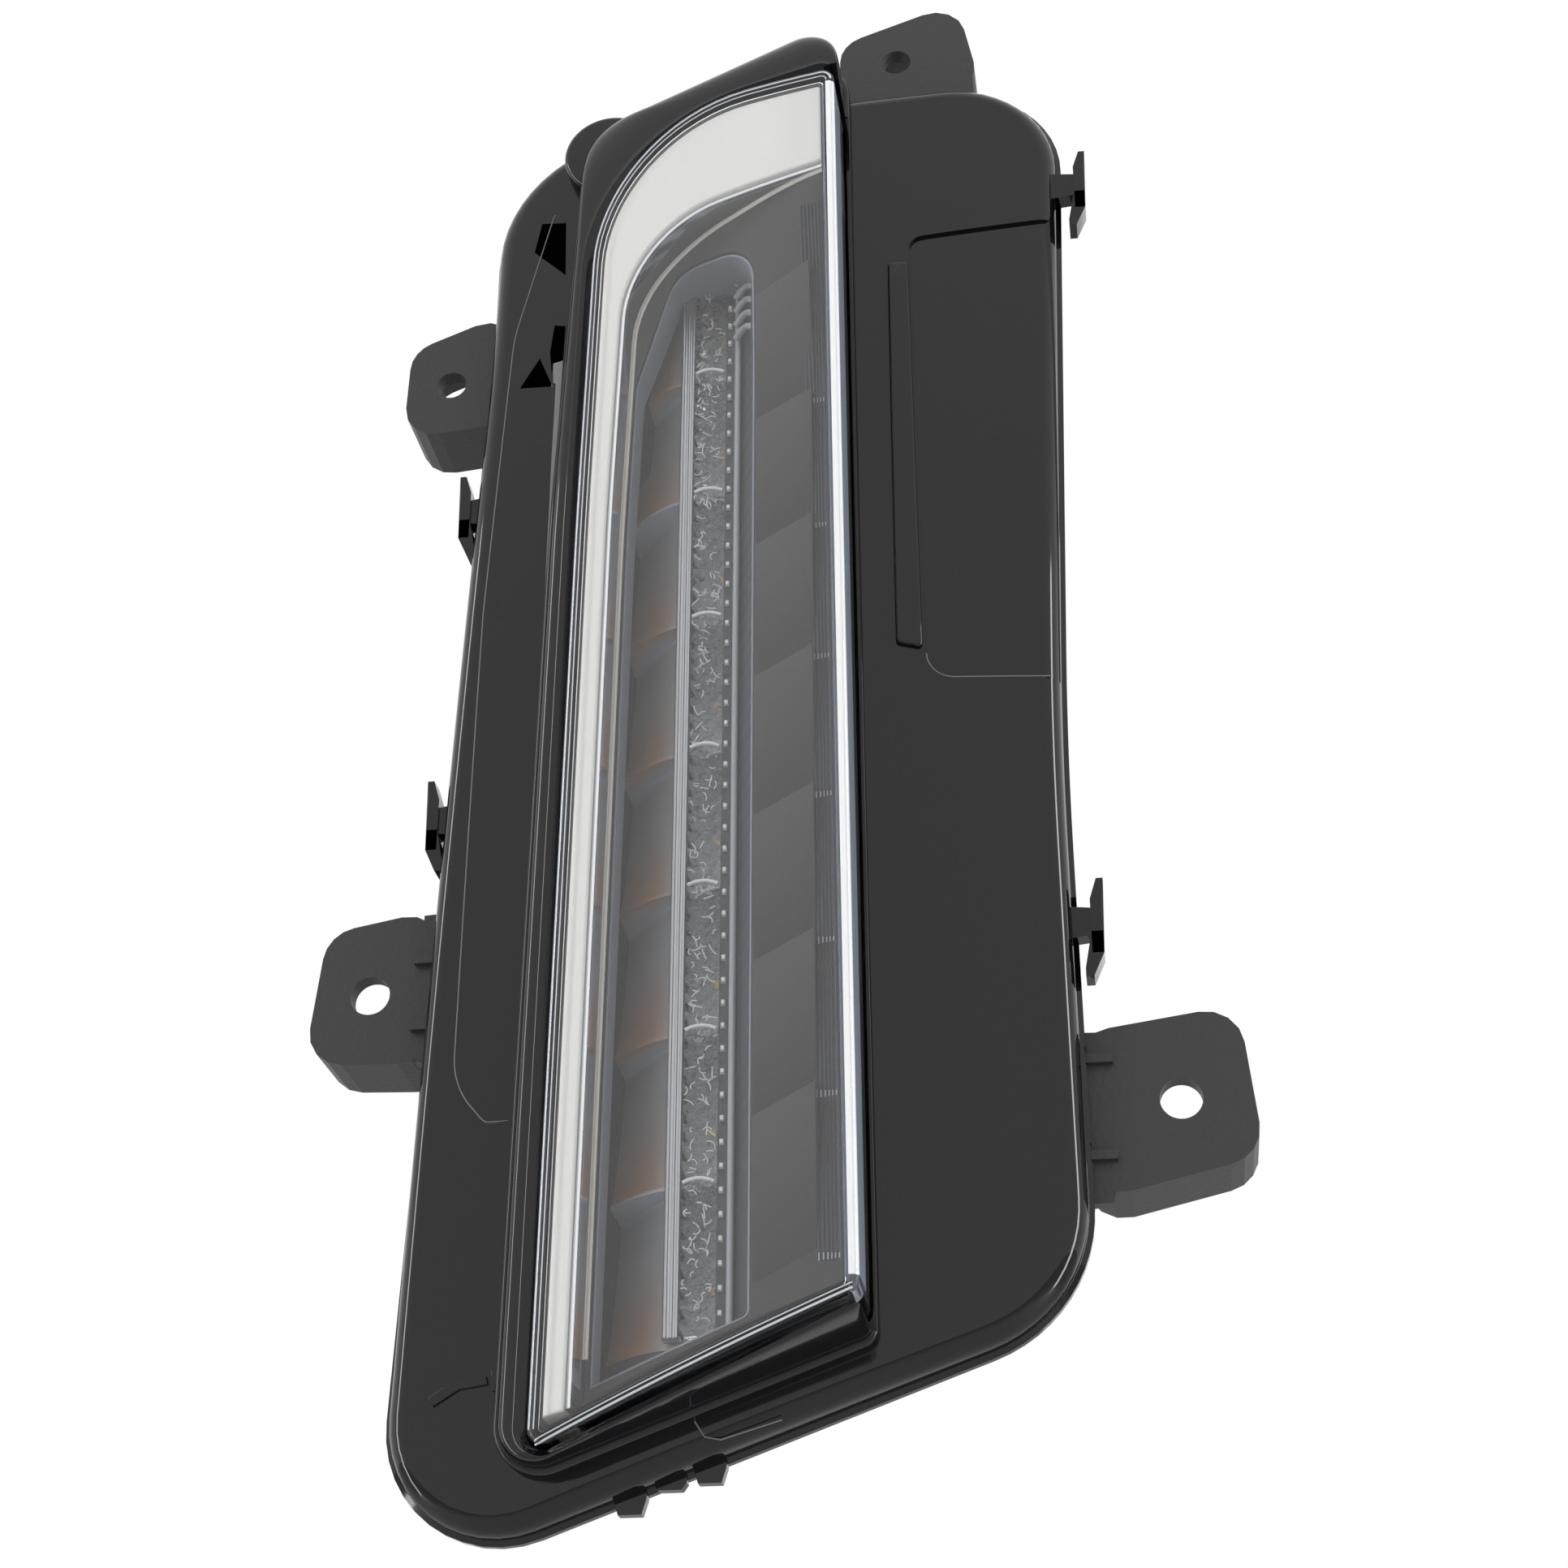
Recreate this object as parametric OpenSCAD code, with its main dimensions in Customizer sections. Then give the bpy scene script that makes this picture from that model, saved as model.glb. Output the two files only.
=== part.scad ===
// Bumper daytime running light: a tall gloss surround with a proud clear lens,
// an eight-cell reflector row behind a pillowed optic, and a sealed housing
// whose four moulded feet screw to the bumper.
// X runs across the lamp, Y runs into the vehicle, Z is up.

/* [Lens] */
// Width of the lens along its lower edge
lens_w = 54; // [50:1:60]
// Width of the lens along its upper edge
lens_top_w = 47.8; // [46:0.2:49]
// Height of the lens along its right side
lens_h = 242; // [236:0.5:250]
// How far the left end of the lower edge hangs below the right end
lens_bottom_drop = 21; // [18:0.5:24]
// How far the left end of the upper edge lies below the right end
lens_top_drop = 4; // [2:0.5:6]
// Radius of the sweep at the upper left of the lens
lens_sweep_r = 34; // [28:1:40]
// Wall of the lens
lens_t = 2; // [1.8:0.1:2.4]
// How far the left side of the lens stands in front of the surround
lens_left_proud = 6; // [5:0.5:9]
// How far the right side of the lens stands in front of the surround
lens_right_proud = 17.5; // [14:0.5:20]
// Rise of the lens face between its two sides
lens_bulge = 2; // [1:0.5:3]

/* [Surround] */
// Margin of the surround left of the lens, at the lower end
margin_left = 27; // [25:0.2:30]
// Margin of the surround left of the lens, at the upper end
margin_left_top = 22.6; // [21:0.2:25]
// Margin of the surround right of the lens, at the lower end
margin_right = 35; // [33:0.5:42]
// Margin of the surround right of the lens, at the upper end
margin_right_top = 42; // [38:0.5:46]
// Margin of the surround below the lens
margin_bottom = 12.5; // [11:0.5:15]
// Wall of the surround
bezel_t = 2.4; // [2:0.1:2.8]
// Radius of the surround's outer edge
bezel_edge_r = 3.4; // [3:0.1:4.5]
// Depth of the surround's skirt behind its face
skirt_depth = 11.4; // [10.5:0.1:12]
// How far the surround's sides fall back from its middle
crown_side = 3; // [1.5:0.25:3.5]
// How far the surround's ends fall back from its middle
crown_end = 3.6; // [1.5:0.25:4]
// Width of the raised rim on the left of the lens
rim_left = 4.2; // [3.6:0.2:5]
// Width of the raised rim above the lens
rim_top = 14; // [11:0.5:16]
// Running gap between the rim and the lens
lens_gap = 0.4; // [0.3:0.05:0.6]
// Depth of the stepped panel on the right
panel_step = 0.7; // [0.4:0.1:1]

/* [Feet] */
// Radius of the two lower screw holes
foot_hole_r = 3.6; // [3.2:0.1:4]
// Radius of the two upper screw holes
foot_hole_upper_r = 3; // [2.6:0.1:3.4]
// Thickness of a foot's plate
foot_t = 3.5; // [3:0.1:4]
// Depth of a foot's side walls behind its plate
foot_depth = 14; // [9:0.5:16]
// Wall round a foot
foot_wall = 2.4; // [2:0.1:2.8]
// Front face of the feet behind the middle of the surround
foot_y = 12.4; // [12.4:0.1:13.4]

/* [Housing] */
// Wall of the housing
housing_t = 2.4; // [2:0.1:2.8]
// Back face of the housing behind the middle of the surround
housing_back = 36.4; // [35:0.2:40]
// Depth at which the sealing channel opens
channel_y = 7.2; // [7:0.1:7.6]
// Depth of the sealing channel
channel_depth = 5; // [4.5:0.1:5.5]
// Width of the sealant on either side of the lens foot
sealant_side = 1.2; // [1:0.1:1.4]

/* [Light row] */
// Number of reflector cells
cells = 8; // [7:1:8]
// Pitch of the reflector cells
cell_pitch = 27.2; // [26:0.2:27.6]
// Width of the reflector row
reflector_w = 26; // [24:0.5:27]
// Depth of the reflector cells
reflector_depth = 17.6; // [16:0.2:18]
// Wall between two reflector cells
cell_wall = 1.4; // [1:0.1:1.8]
// Width of the clear optic over the light sources
optic_w = 12.6; // [11:0.2:13]
// Thickness of the clear optic
optic_t = 3.2; // [2.6:0.1:3.6]
// Edge length of one light source
led_size = 3; // [2.4:0.1:3.4]
// Pillows across one cell of the optic
pillows = 4; // [3:1:5]

/* [Trims] */
// Gap between the lens wall and the trims inside it
trim_gap = 0.6; // [0.5:0.1:0.8]
// Width of the white strip down the left side
strip_w = 3.6; // [3:0.2:4.4]
// Height of the white strip at its upper right end
strip_end_h = 17.5; // [15:0.5:20]
// Width of the bright trim beside the white strip
bright_w = 1; // [0.8:0.1:1.2]
// Thickness of the inner bezel
inner_t = 2; // [1.6:0.1:2.4]

/* [Cooling] */
// Number of fins on the heat sink
fins = 7; // [5:1:8]
// Thickness of a fin
fin_t = 1.6; // [1.4:0.1:2]
// Length of a fin behind the heat sink's base
fin_len = 11; // [8:0.5:14]
// Thickness of the heat sink's base
sink_t = 3; // [2.5:0.1:3.5]
// Length of the heat sink
sink_len = 176; // [160:2:180]

/* [Electrics] */
// Thickness of the circuit boards
board_t = 1.6; // [1.2:0.1:2]
// Width of the connector's mouth
socket_w = 15; // [14:0.5:17]
// Height of the connector's mouth
socket_h = 9; // [8:0.5:10]
// Depth of the connector's mouth
socket_depth = 15; // [12:0.5:18]
// Wall of the connector
socket_t = 1.8; // [1.6:0.1:2.2]

/* [Hidden] */
$fn = 48;

// Round stretches: steps in a corner, and steps along a straight edge
arc_steps = 6;
edge_steps = 4;

// Clearance of parts that lie beside each other without being fastened
ease = 0.3;

// Lower right corner of the lens in the lamp's own frame
lens_x = 14;
lens_z = -96;
lens_lean = 2;
lens_left_x = lens_x - lens_w;
lens_top_z = lens_z + lens_h;
upper_z = lens_top_z + 6;
lens_corners = [
    [lens_x, lens_z, 2],
    [lens_x - lens_lean, lens_top_z, 2.5],
    [lens_x - lens_lean - lens_top_w, lens_top_z - lens_top_drop, lens_sweep_r],
    [lens_left_x + 2.1, upper_z - 97, -9],
    [lens_left_x, lens_z - lens_bottom_drop, 3]];

// The surround's outline runs from the lower right corner round to the lower left one
bezel_right = lens_x + margin_right;
bezel_right_top = lens_x - lens_lean + margin_right_top;
bezel_left = lens_left_x - margin_left;
bezel_left_top = lens_x - lens_lean - lens_top_w - margin_left_top;
bezel_top = upper_z + 8;
bezel_bottom = lens_z - lens_bottom_drop - margin_bottom;
bezel_slope = 0.36;
bezel_mid_z = upper_z - 144;
bezel_shoulder_z = upper_z - 52;
bezel_corners = [
    [bezel_right, bezel_bottom + bezel_slope * (bezel_right - lens_left_x) + 4, 25],
    [bezel_right - 0.6, bezel_mid_z, -20],
    [bezel_right_top, bezel_top, 20],
    [bezel_left_top, bezel_top - 9, 28],
    [bezel_left_top, bezel_shoulder_z, -18],
    [bezel_left, bezel_bottom - bezel_slope * margin_left + 4, 19]];
bezel_mid_x = (bezel_left + bezel_right) / 2;
bezel_middle_z = (bezel_bottom + bezel_top) / 2;
bezel_half_w = (bezel_right - bezel_left) / 2;
bezel_half_h = (bezel_top - bezel_bottom) / 2;

// Depths of the inner parts
foot_inner_y = channel_y + channel_depth;
tub_y = foot_inner_y + housing_t;
floor_y = housing_back - housing_t;
reflector_y = 10.4;
board_y = reflector_y + reflector_depth;
pad_y = board_y + board_t;
pad_t = 0.6;
pedestal_y = pad_y + pad_t;
gasket_t = 0.8;
sink_y = housing_back + gasket_t;

// Where the light row lies between the lens sides
inner_left = lens_left_x + lens_t + trim_gap + strip_w + bright_w;
row_left = inner_left + 0.2;
row_right = row_left + reflector_w;
row_top = upper_z - 31.4;
row_bottom = row_top - cells * cell_pitch;
optic_right = row_right - 0.6;
optic_left = optic_right - optic_w;
led_x = optic_left + 0.36 * optic_w;

// Where the back parts lie
sink_w = 32;
sink_screw_clear = 4.8;
inner_screw_x = lens_x - lens_t - trim_gap - 4.8;
sink_mid_x = inner_screw_x - sink_screw_clear - sink_w / 2;
board_mid_x = row_left + reflector_w / 2 + 2.1;
back_mid_x = board_mid_x + 3.3;
pedestal_x = board_mid_x - 1;
pedestal_w = 17;
pedestal_len = sink_len - 36;
sink_top = row_top - 12;
sink_bottom = sink_top - sink_len;
socket_x = back_mid_x + 1;
socket_z = sink_bottom - 16;
vent_x = back_mid_x;
vent_z = sink_top + 15;
vent_r = 4.2;

// The four feet, as corners round each plate from its root, and their holes
right_foot_hole = [bezel_right + 16, lens_z + 39];
left_foot_hole = [bezel_left - 8.8, lens_z + 65.5];
left_upper_hole = [bezel_left_top - 10, upper_z - 52];
top_foot_hole = [lens_x + 7.6, upper_z + 20];
foot_r = 6.5;
right_foot = foot_plate(right_foot_hole, [[-17, -17.5], [13, -10.5], [10.5, 16.2], [-17, 12.4]]);
left_foot = foot_plate(left_foot_hole, [[-8.7, 12.5], [-11.2, -12.5], [12.5, -13.5], [12.5, 16.3]]);
left_upper_foot = foot_plate(left_upper_hole, [[-8.6, 9], [-9.2, -12], [13, -10], [13, 17.5]]);
top_foot = foot_plate(top_foot_hole, [[-11.6, -11], [17.4, -9], [12.9, 14.5], [-11.6, 6]]);

// The webs that carry the feet, from the sealing channel outwards
channel_out = sealant_side + housing_t;
web_t = 2.6;
right_web = [[lens_x - 4, right_foot_hole[1] + 14], [right_foot_hole[0] - 12, right_foot_hole[1] + 12.4],
    [right_foot_hole[0] - 12, right_foot_hole[1] - 17.5], [lens_x - 4, right_foot_hole[1] - 19]];
left_web = [[left_foot_hole[0] + 9, left_foot_hole[1] + 15], [lens_left_x + 6, left_foot_hole[1] + 17],
    [lens_left_x + 6, left_foot_hole[1] - 16], [left_foot_hole[0] + 9, left_foot_hole[1] - 13]];
left_upper_web = [[left_upper_hole[0] + 9, left_upper_hole[1] + 16],
    [lens_left_x + 13, left_upper_hole[1] + 17],
    [lens_left_x + 9, left_upper_hole[1] - 14], [left_upper_hole[0] + 9, left_upper_hole[1] - 10]];
top_web = [[lens_x - 18, upper_z - 14], [top_foot_hole[0] - 11.6, top_foot_hole[1] - 2],
    [top_foot_hole[0] + 15.5, top_foot_hole[1] - 2], [top_foot_hole[0] + 17, upper_z - 16],
    [lens_x - 2, upper_z - 24]];

// Where the surround screws to the webs
boss_r = 3.6;
boss_screw_r = 1.4;
boss_points = [
    [right_foot_hole[0] - 27, right_foot_hole[1] - 2],
    [left_foot_hole[0] + 22, left_foot_hole[1] + 1],
    [left_upper_hole[0] + 18, left_upper_hole[1] + 2],
    [top_foot_hole[0] + 8, upper_z - 7]];

function unit(v) = v / norm(v);

// The corners of a foot's plate, given round its hole, with the foot's corner radius
function foot_plate(hole, around) = [for (p = around) [hole[0] + p[0], hole[1] + p[1], foot_r]];

// The outward normal of the edge that leaves corner i of an outline drawn anticlockwise
function edge_normal(c, i) =
    let (a = c[i], b = c[(i + 1) % len(c)], e = unit([b[0] - a[0], b[1] - a[1]]))
    [e[1], -e[0]];

// An outline moved outwards by d, or by one distance for each edge
function grown(c, d) =
    let (n = len(c))
    [for (i = [0:n - 1])
        let (
            before = (i + n - 1) % n,
            n1 = edge_normal(c, before),
            n2 = edge_normal(c, i),
            d1 = is_list(d) ? d[before] : d,
            d2 = is_list(d) ? d[i] : d,
            k = n1 * n2,
            move = (n1 * (d1 - k * d2) + n2 * (d2 - k * d1)) / (1 - k * k))
        [c[i][0] + move[0], c[i][1] + move[1], c[i][2] < 0 ? c[i][2] : max(c[i][2] + (d1 + d2) / 2, 0.8)]];

// The arc that rounds corner b between its neighbours a and c. A shallow bend gives its run
// along each side, as a negative number, in place of its radius
function corner_arc(a, b, c, radius, steps) =
    let (
        u = unit(a - b),
        w = unit(c - b),
        half = acos(u * w) / 2,
        r = radius < 0 ? -radius * tan(half) : radius,
        centre = b + unit(u + w) * r / sin(half),
        p0 = b + u * r / tan(half) - centre,
        p1 = b + w * r / tan(half) - centre,
        start = atan2(p0[1], p0[0]),
        turn = (atan2(p1[1], p1[0]) - start + 540) % 360 - 180)
    [for (i = [0:steps]) centre + r * [cos(start + turn * i / steps), sin(start + turn * i / steps)]];

// An outline's points, with each corner rounded and each straight edge cut into steps
function rounded(c, steps = arc_steps, straight = 1) =
    let (
        n = len(c),
        arcs = [for (i = [0:n - 1])
            let (a = c[(i + n - 1) % n], b = c[i], d = c[(i + 1) % n])
            corner_arc([a[0], a[1]], [b[0], b[1]], [d[0], d[1]], b[2], steps)])
    [for (i = [0:n - 1])
        let (from = arcs[i][steps], to = arcs[(i + 1) % n][0])
        each concat(
            arcs[i],
            straight < 2 ? [] : [for (k = [1:straight - 1]) from + (to - from) * k / straight])];

// An outline's points for a flat shape: small corners get fewer steps than wide ones
function arc_count(r) = r < 0 ? 6 : max(2, min(12, round(1.6 * sqrt(r))));
function profile(c) =
    let (n = len(c))
    [for (i = [0:n - 1])
        let (a = c[(i + n - 1) % n], b = c[i], d = c[(i + 1) % n])
        each corner_arc([a[0], a[1]], [b[0], b[1]], [d[0], d[1]], b[2], arc_count(b[2]))];

// Where the edge that leaves corner i of an outline crosses a height
function edge_x(c, i, z) =
    let (a = c[i], b = c[(i + 1) % len(c)])
    a[0] + (b[0] - a[0]) * (z - a[1]) / (b[1] - a[1]);

// How far the surround's face lies behind its middle at a point
function crown(p) =
    crown_side * pow((p[0] - bezel_mid_x) / bezel_half_w, 2)
    + crown_end * pow((p[1] - bezel_middle_z) / bezel_half_h, 2);

// A ring of points in space: an outline with its depth from the crown, or one fixed depth
function crowned_ring(points, behind) = [for (p = points) [p[0], crown(p) + behind, p[1]]];
function flat_ring(points, y) = [for (p = points) [p[0], y, p[1]]];

// The spine that the surround's face rings close on
function spine_point(p) =
    [bezel_mid_x, max(min(p[1], bezel_top - 45), bezel_bottom + 55)];
function towards_spine(points, t) = [for (p = points) p + (spine_point(p) - p) * t];

// A solid through rings of equal length, closed by a flat fan at each end
module loft(rings) {
    n = len(rings[0]);
    last = (len(rings) - 1) * n;
    polyhedron(
        points = [for (ring = rings) each ring],
        faces = concat(
            [[for (i = [0:n - 1]) i]],
            [for (k = [0:len(rings) - 2]) for (i = [0:n - 1])
                let (a = k * n + i, b = k * n + (i + 1) % n)
                each [[a, a + n, b + n], [a, b + n, b]]],
            [[for (i = [n - 1:-1:0]) last + i]]),
        convexity = 8);
}

// The lamp's own frame is moved so that the lower right foot's hole is the origin
module at_mount() {
    translate([-right_foot_hole[0], -foot_y, -right_foot_hole[1]]) children();
}

// A flat outline drawn in X and Z, made solid from depth y0 to y1
module slab(y0, y1) {
    translate([0, y1, 0])
        rotate([90, 0, 0])
            linear_extrude(height = y1 - y0)
                children();
}

// A round bar along Y from depth y0 to y1, at a point of the X and Z plane
module rod(p, r, y0, y1) {
    translate([p[0], y1, p[1]])
        rotate([90, 0, 0])
            cylinder(r = r, h = y1 - y0);
}

// A block between two corners
module block(a, b) {
    translate(a) cube(b - a);
}

// The bead along the skirt's back edge: how far it stands out, and how far from the edge
skirt_bead = [[0.9, 0], [0.9, 1.5], [0, 2.1]];

// The surround's skin as a solid: outline in by inset, face back by inset
module bezel_body(inset, back, bead = [[0, 0]]) {
    outline = grown(bezel_corners, -inset);
    bend = bezel_edge_r;
    bend_steps = 3;
    loft(concat(
        [for (b = bead) flat_ring(rounded(grown(outline, b[0]), arc_steps, edge_steps), back - b[1])],
        [for (k = [0:bend_steps])
            let (a = 90 * k / bend_steps)
            crowned_ring(
                rounded(grown(outline, -bend * (1 - cos(a))), arc_steps, edge_steps),
                inset + bend * (1 - sin(a)))],
        [for (t = [0.3, 0.62, 0.96])
            crowned_ring(
                towards_spine(rounded(grown(outline, -bend), arc_steps, edge_steps), t),
                inset)]));
}

// Depth of the lens face at a point, without its bulge
function lens_face(p) =
    -lens_left_proud - (lens_right_proud - lens_left_proud) * (p[0] - lens_left_x) / lens_w;

// The rim's foot: close to the lens below, and wide over its upper left as a brow
brow_corners = [
    [lens_x + 1.1, lens_z - 3.6, 3],
    [lens_x - lens_lean + 1.1, upper_z + rim_top, 9],
    [lens_left_x - rim_left - 0.4, upper_z - 3, 9],
    [lens_left_x - rim_left, upper_z - 92, -12],
    [lens_left_x - rim_left - 2.6, lens_z - lens_bottom_drop - 5.4, 8]];
brow_edge_y = -0.6;

// The rim's crease, which follows the lens: its distance on the right, top, left and bottom
crease_out = [0.7, 3, 2.4, 2.4, 1.7];
crease_behind = 0.8;

// Steps from the brow's edge to the crease: share of the way in, and share of the depth left
brow_steps = [[0.1, 0.5], [0.25, 0.2], [0.55, 0.05]];

// The raised rim round the lens, open on the right where the lens wraps round
module rim_body() {
    foot = rounded(brow_corners, 8, edge_steps);
    edge = rounded(grown(brow_corners, -0.5), 8, edge_steps);
    crease = rounded(grown(lens_corners, crease_out), 8, edge_steps);
    loft([
        flat_ring(foot, skirt_depth),
        flat_ring(foot, brow_edge_y + 2),
        flat_ring(edge, brow_edge_y + 0.6),
        for (s = brow_steps)
            [for (i = [0:len(edge) - 1])
                let (p = edge[i] + (crease[i] - edge[i]) * s[0], y = lens_face(p) + crease_behind)
                [p[0], y + (brow_edge_y - y) * s[1], p[1]]],
        [for (p = crease) [p[0], lens_face(p) + crease_behind, p[1]]]]);
}

// The rim's ear at the upper left
ear_centre = [lens_left_x + 5, upper_z - 8.2];
ear_r = 9.4;
module ear() {
    hull() {
        rod(ear_centre, ear_r, brow_edge_y + 0.4, skirt_depth);
        rod(ear_centre, ear_r - 1.2, brow_edge_y - 0.8, skirt_depth);
    }
}

// The hollow behind the rim and its ear, where the housing's channel comes up
rim_hollow_y = 6.4;
module rim_hollow() {
    slab(rim_hollow_y, skirt_depth + 1) polygon(profile(grown(brow_corners, -bezel_t)));
    slab(rim_hollow_y, skirt_depth + 1) polygon(profile(grown(lens_corners, channel_out + ease)));
    rod(ear_centre, ear_r - bezel_t, rim_hollow_y, skirt_depth + 1);
}

// What is cut away on the right of the rim, so that only the lens stands there
module rim_opening() {
    edge = lens_x - 2;
    slab(-40, -0.3)
        polygon([[edge - lens_lean, lens_top_z + 1.6], [edge + 30, lens_top_z + 1.6],
            [edge + 30, lens_z - 2], [edge, lens_z - 2]]);
}

// A snap clip on the surround's skirt: a neck and a curved blade, out by reach
clip_len = 17;
clip_t = 2;
clip_places = [
    [1, upper_z - 21.5, 4.6],
    [0, right_foot_hole[1] + 29.5, 4.2],
    [4, left_upper_hole[1] - 35, -2.6],
    [4, left_foot_hole[1] + 30, -2.6]];
module snap_clip(x, z, reach) {
    y = skirt_depth - 3;
    side = sign(reach);
    tip = x + reach;
    // neck
    hull() {
        translate([x - side * 1.4, y, z + 1]) cube([1, 3.4, 6], center = true);
        translate([tip - side * 1, y, z + 1]) cube([1, 3.4, 5], center = true);
    }
    // blade
    hull() {
        translate([tip, y, z]) cube([clip_t, 4.4, 10], center = true);
        translate([tip + side * 0.8, y, z + clip_len / 2]) cube([1.2, 3.6, 1], center = true);
    }
    hull() {
        translate([tip, y, z - 3]) cube([clip_t, 4.4, 4], center = true);
        translate([tip - side * 1.6, y, z - clip_len / 2]) cube([1.4, 4.4, 1.4], center = true);
    }
}

// Corners of the stepped panel, the bar beside it and the locating tabs
panel_left = lens_x + 10.5;
panel_top = upper_z - 33;
panel_bottom = upper_z - 132;
panel_corners = [
    [bezel_right_top + 20, panel_bottom - 1, 1],
    [bezel_right_top + 20, panel_top + 6.5, 1],
    [panel_left - 0.4, panel_top, 3],
    [panel_left + 1, panel_bottom, 5]];
bar_w = 4.8;
bar_top = panel_top - 6.5;
bar_bottom = panel_bottom + 7;

// The long crease of the left side, where the face drops towards the rim
crease_drop = 0.9;
channel_w = 12.5;
crease_corners = [
    [lens_left_x - rim_left - 1, lens_z + 30, 4],
    [lens_left_x - rim_left + 5, upper_z - 16, 4],
    [lens_left_x - rim_left - 2, upper_z - 16, 8],
    [lens_left_x - channel_w - 3.3, lens_z + 140, 50],
    [lens_left_x - channel_w - 4.6, lens_z + 44, 14]];

// The catch pocket through the skirt beside the right foot
module catch_window() {
    block([bezel_right - 4, skirt_depth - 5, right_foot_hole[1] - 12],
        [bezel_right + 4, skirt_depth - 2.6, right_foot_hole[1] + 9.4]);
}

// Ribs of the feet pass under notches in the skirt
rib_w = 1.6;
module skirt_notches() {
    for (dz = [7.4, -9.6])
        block([bezel_right - 6, foot_y - 2.6, right_foot_hole[1] + dz - rib_w],
            [bezel_right + 6, foot_y + 1, right_foot_hole[1] + dz + rib_w]);
    for (dz = [6, -6.6])
        block([bezel_left - 6, foot_y - 2.6, left_foot_hole[1] + dz - rib_w],
            [bezel_left + 6, foot_y + 1, left_foot_hole[1] + dz + rib_w]);
}

// A screw boss, as a bar with sixteen sides
module boss(p, r, y0, y1) {
    translate([p[0], y1, p[1]])
        rotate([90, 0, 0])
            cylinder(r = r, h = y1 - y0, $fn = 16);
}

// The surround before its rim: its skin with the stepped panel and the drop on the left
module surround_shell() {
    difference() {
        bezel_body(0, skirt_depth, skirt_bead);
        difference() {
            slab(-6, 6) polygon(profile(panel_corners));
            translate([0, panel_step, 0]) bezel_body(0, skirt_depth);
        }
        difference() {
            slab(-3.5, 6) polygon(profile(crease_corners));
            translate([0, crease_drop, 0]) bezel_body(0, skirt_depth);
        }
    }
}

module bezel() {
    color([0.02, 0.02, 0.025])
    at_mount()
    difference() {
        union() {
            difference() {
                union() {
                    surround_shell();
                    difference() {
                        union() {
                            rim_body();
                            ear();
                        }
                        rim_opening();
                    }
                }
                bezel_body(bezel_t, skirt_depth + 1);
                rim_hollow();
            }
            // bar beside the stepped panel
            difference() {
                intersection() {
                    slab(-4, bezel_t)
                        polygon([[panel_left - 4.4, bar_bottom], [panel_left + 0.4, bar_bottom - 1.2],
                            [panel_left - 0.6, bar_top], [panel_left - 4.6, bar_top]]);
                    translate([0, -0.9, 0]) bezel_body(0, skirt_depth);
                }
                slab(-8, 8) polygon(profile(grown(lens_corners, lens_gap)));
            }
            for (c = clip_places) snap_clip(edge_x(bezel_corners, c[0], c[1]), c[1], c[2]);
            locating_tabs();
            for (p = boss_points) boss(p, boss_r, crown(p) + bezel_t / 2, foot_y - 0.1);
        }
        slab(-40, 40) polygon(profile(grown(lens_corners, lens_gap)));
        for (p = boss_points) boss(p, boss_screw_r + 0.15, crown(p) + bezel_t + 1, foot_y + 5);
        catch_window();
        skirt_notches();
    }
}

// Three short tabs under the lower edge
tab_w = 5.4;
module locating_tabs() {
    for (k = [0:2]) {
        x = lens_left_x + 14.1 + 6.4 * k;
        z = bezel_bottom + bezel_slope * (x - lens_left_x) + 3.4;
        drop = k == 1 ? 0.6 : 2;
        hull() {
            translate([x, skirt_depth - 1.6, z + 1]) cube([tab_w, 2.2, 2], center = true);
            translate([x, skirt_depth - 1.6, z - drop]) cube([tab_w - 1.6, 2.2, 1], center = true);
        }
    }
}

// The block that gives the lens its face: a large cylinder over both sides
face_side = lens_right_proud - lens_left_proud;
face_chord = norm([lens_w, face_side]);
face_r = face_chord * face_chord / (8 * lens_bulge) + lens_bulge / 2;
face_lean = atan2(face_side, lens_w);
face_reach = face_r - lens_bulge;
face_centre = [(lens_left_x + lens_x) / 2 + face_reach * sin(face_lean),
    -(lens_left_proud + lens_right_proud) / 2 + face_reach * cos(face_lean)];
module lens_front(inset) {
    translate([face_centre[0], face_centre[1], lens_z - 60])
        cylinder(r = face_r - inset, h = lens_h + 120, $fn = 360);
}

// Depth of the lens face, moved back by inset, at one distance across the lamp
function front_y(x, inset) =
    face_centre[1] - sqrt(pow(face_r - inset, 2) - pow(x - face_centre[0], 2));

// Clear cover whose right side wraps back to the surround
module outer_lens() {
    color([0.85, 0.88, 0.9, 0.35])
    at_mount()
    difference() {
        union() {
            intersection() {
                slab(-lens_right_proud - 10, foot_inner_y - ease) polygon(profile(lens_corners));
                lens_front(0);
            }
        }
        intersection() {
            slab(-lens_right_proud - 10, foot_inner_y + 1)
                polygon(profile(grown(lens_corners, -lens_t)));
            lens_front(lens_t);
        }
    }
}

// Bead that bonds the lens foot into the channel
module lens_sealant() {
    color([0.25, 0.25, 0.27])
    at_mount()
    difference() {
        slab(channel_y + 1, foot_inner_y) polygon(profile(grown(lens_corners, sealant_side)));
        slab(channel_y, foot_inner_y - ease) polygon(profile(lens_corners));
        slab(channel_y, foot_inner_y + 1)
            polygon(profile(grown(lens_corners, -lens_t)));
    }
}

// A foot: a plate with a screw hole and walls behind it, open at the back
module foot(corners) {
    difference() {
        slab(foot_y, foot_y + foot_depth) polygon(profile(corners));
        slab(foot_y + foot_t, foot_y + foot_depth + 1) polygon(profile(grown(corners, -foot_wall)));
    }
}

// The plate that carries a foot and the surround's screw, with a rib on its back
module web(corners) {
    slab(foot_y, foot_y + web_t) polygon(corners);
}

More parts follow.
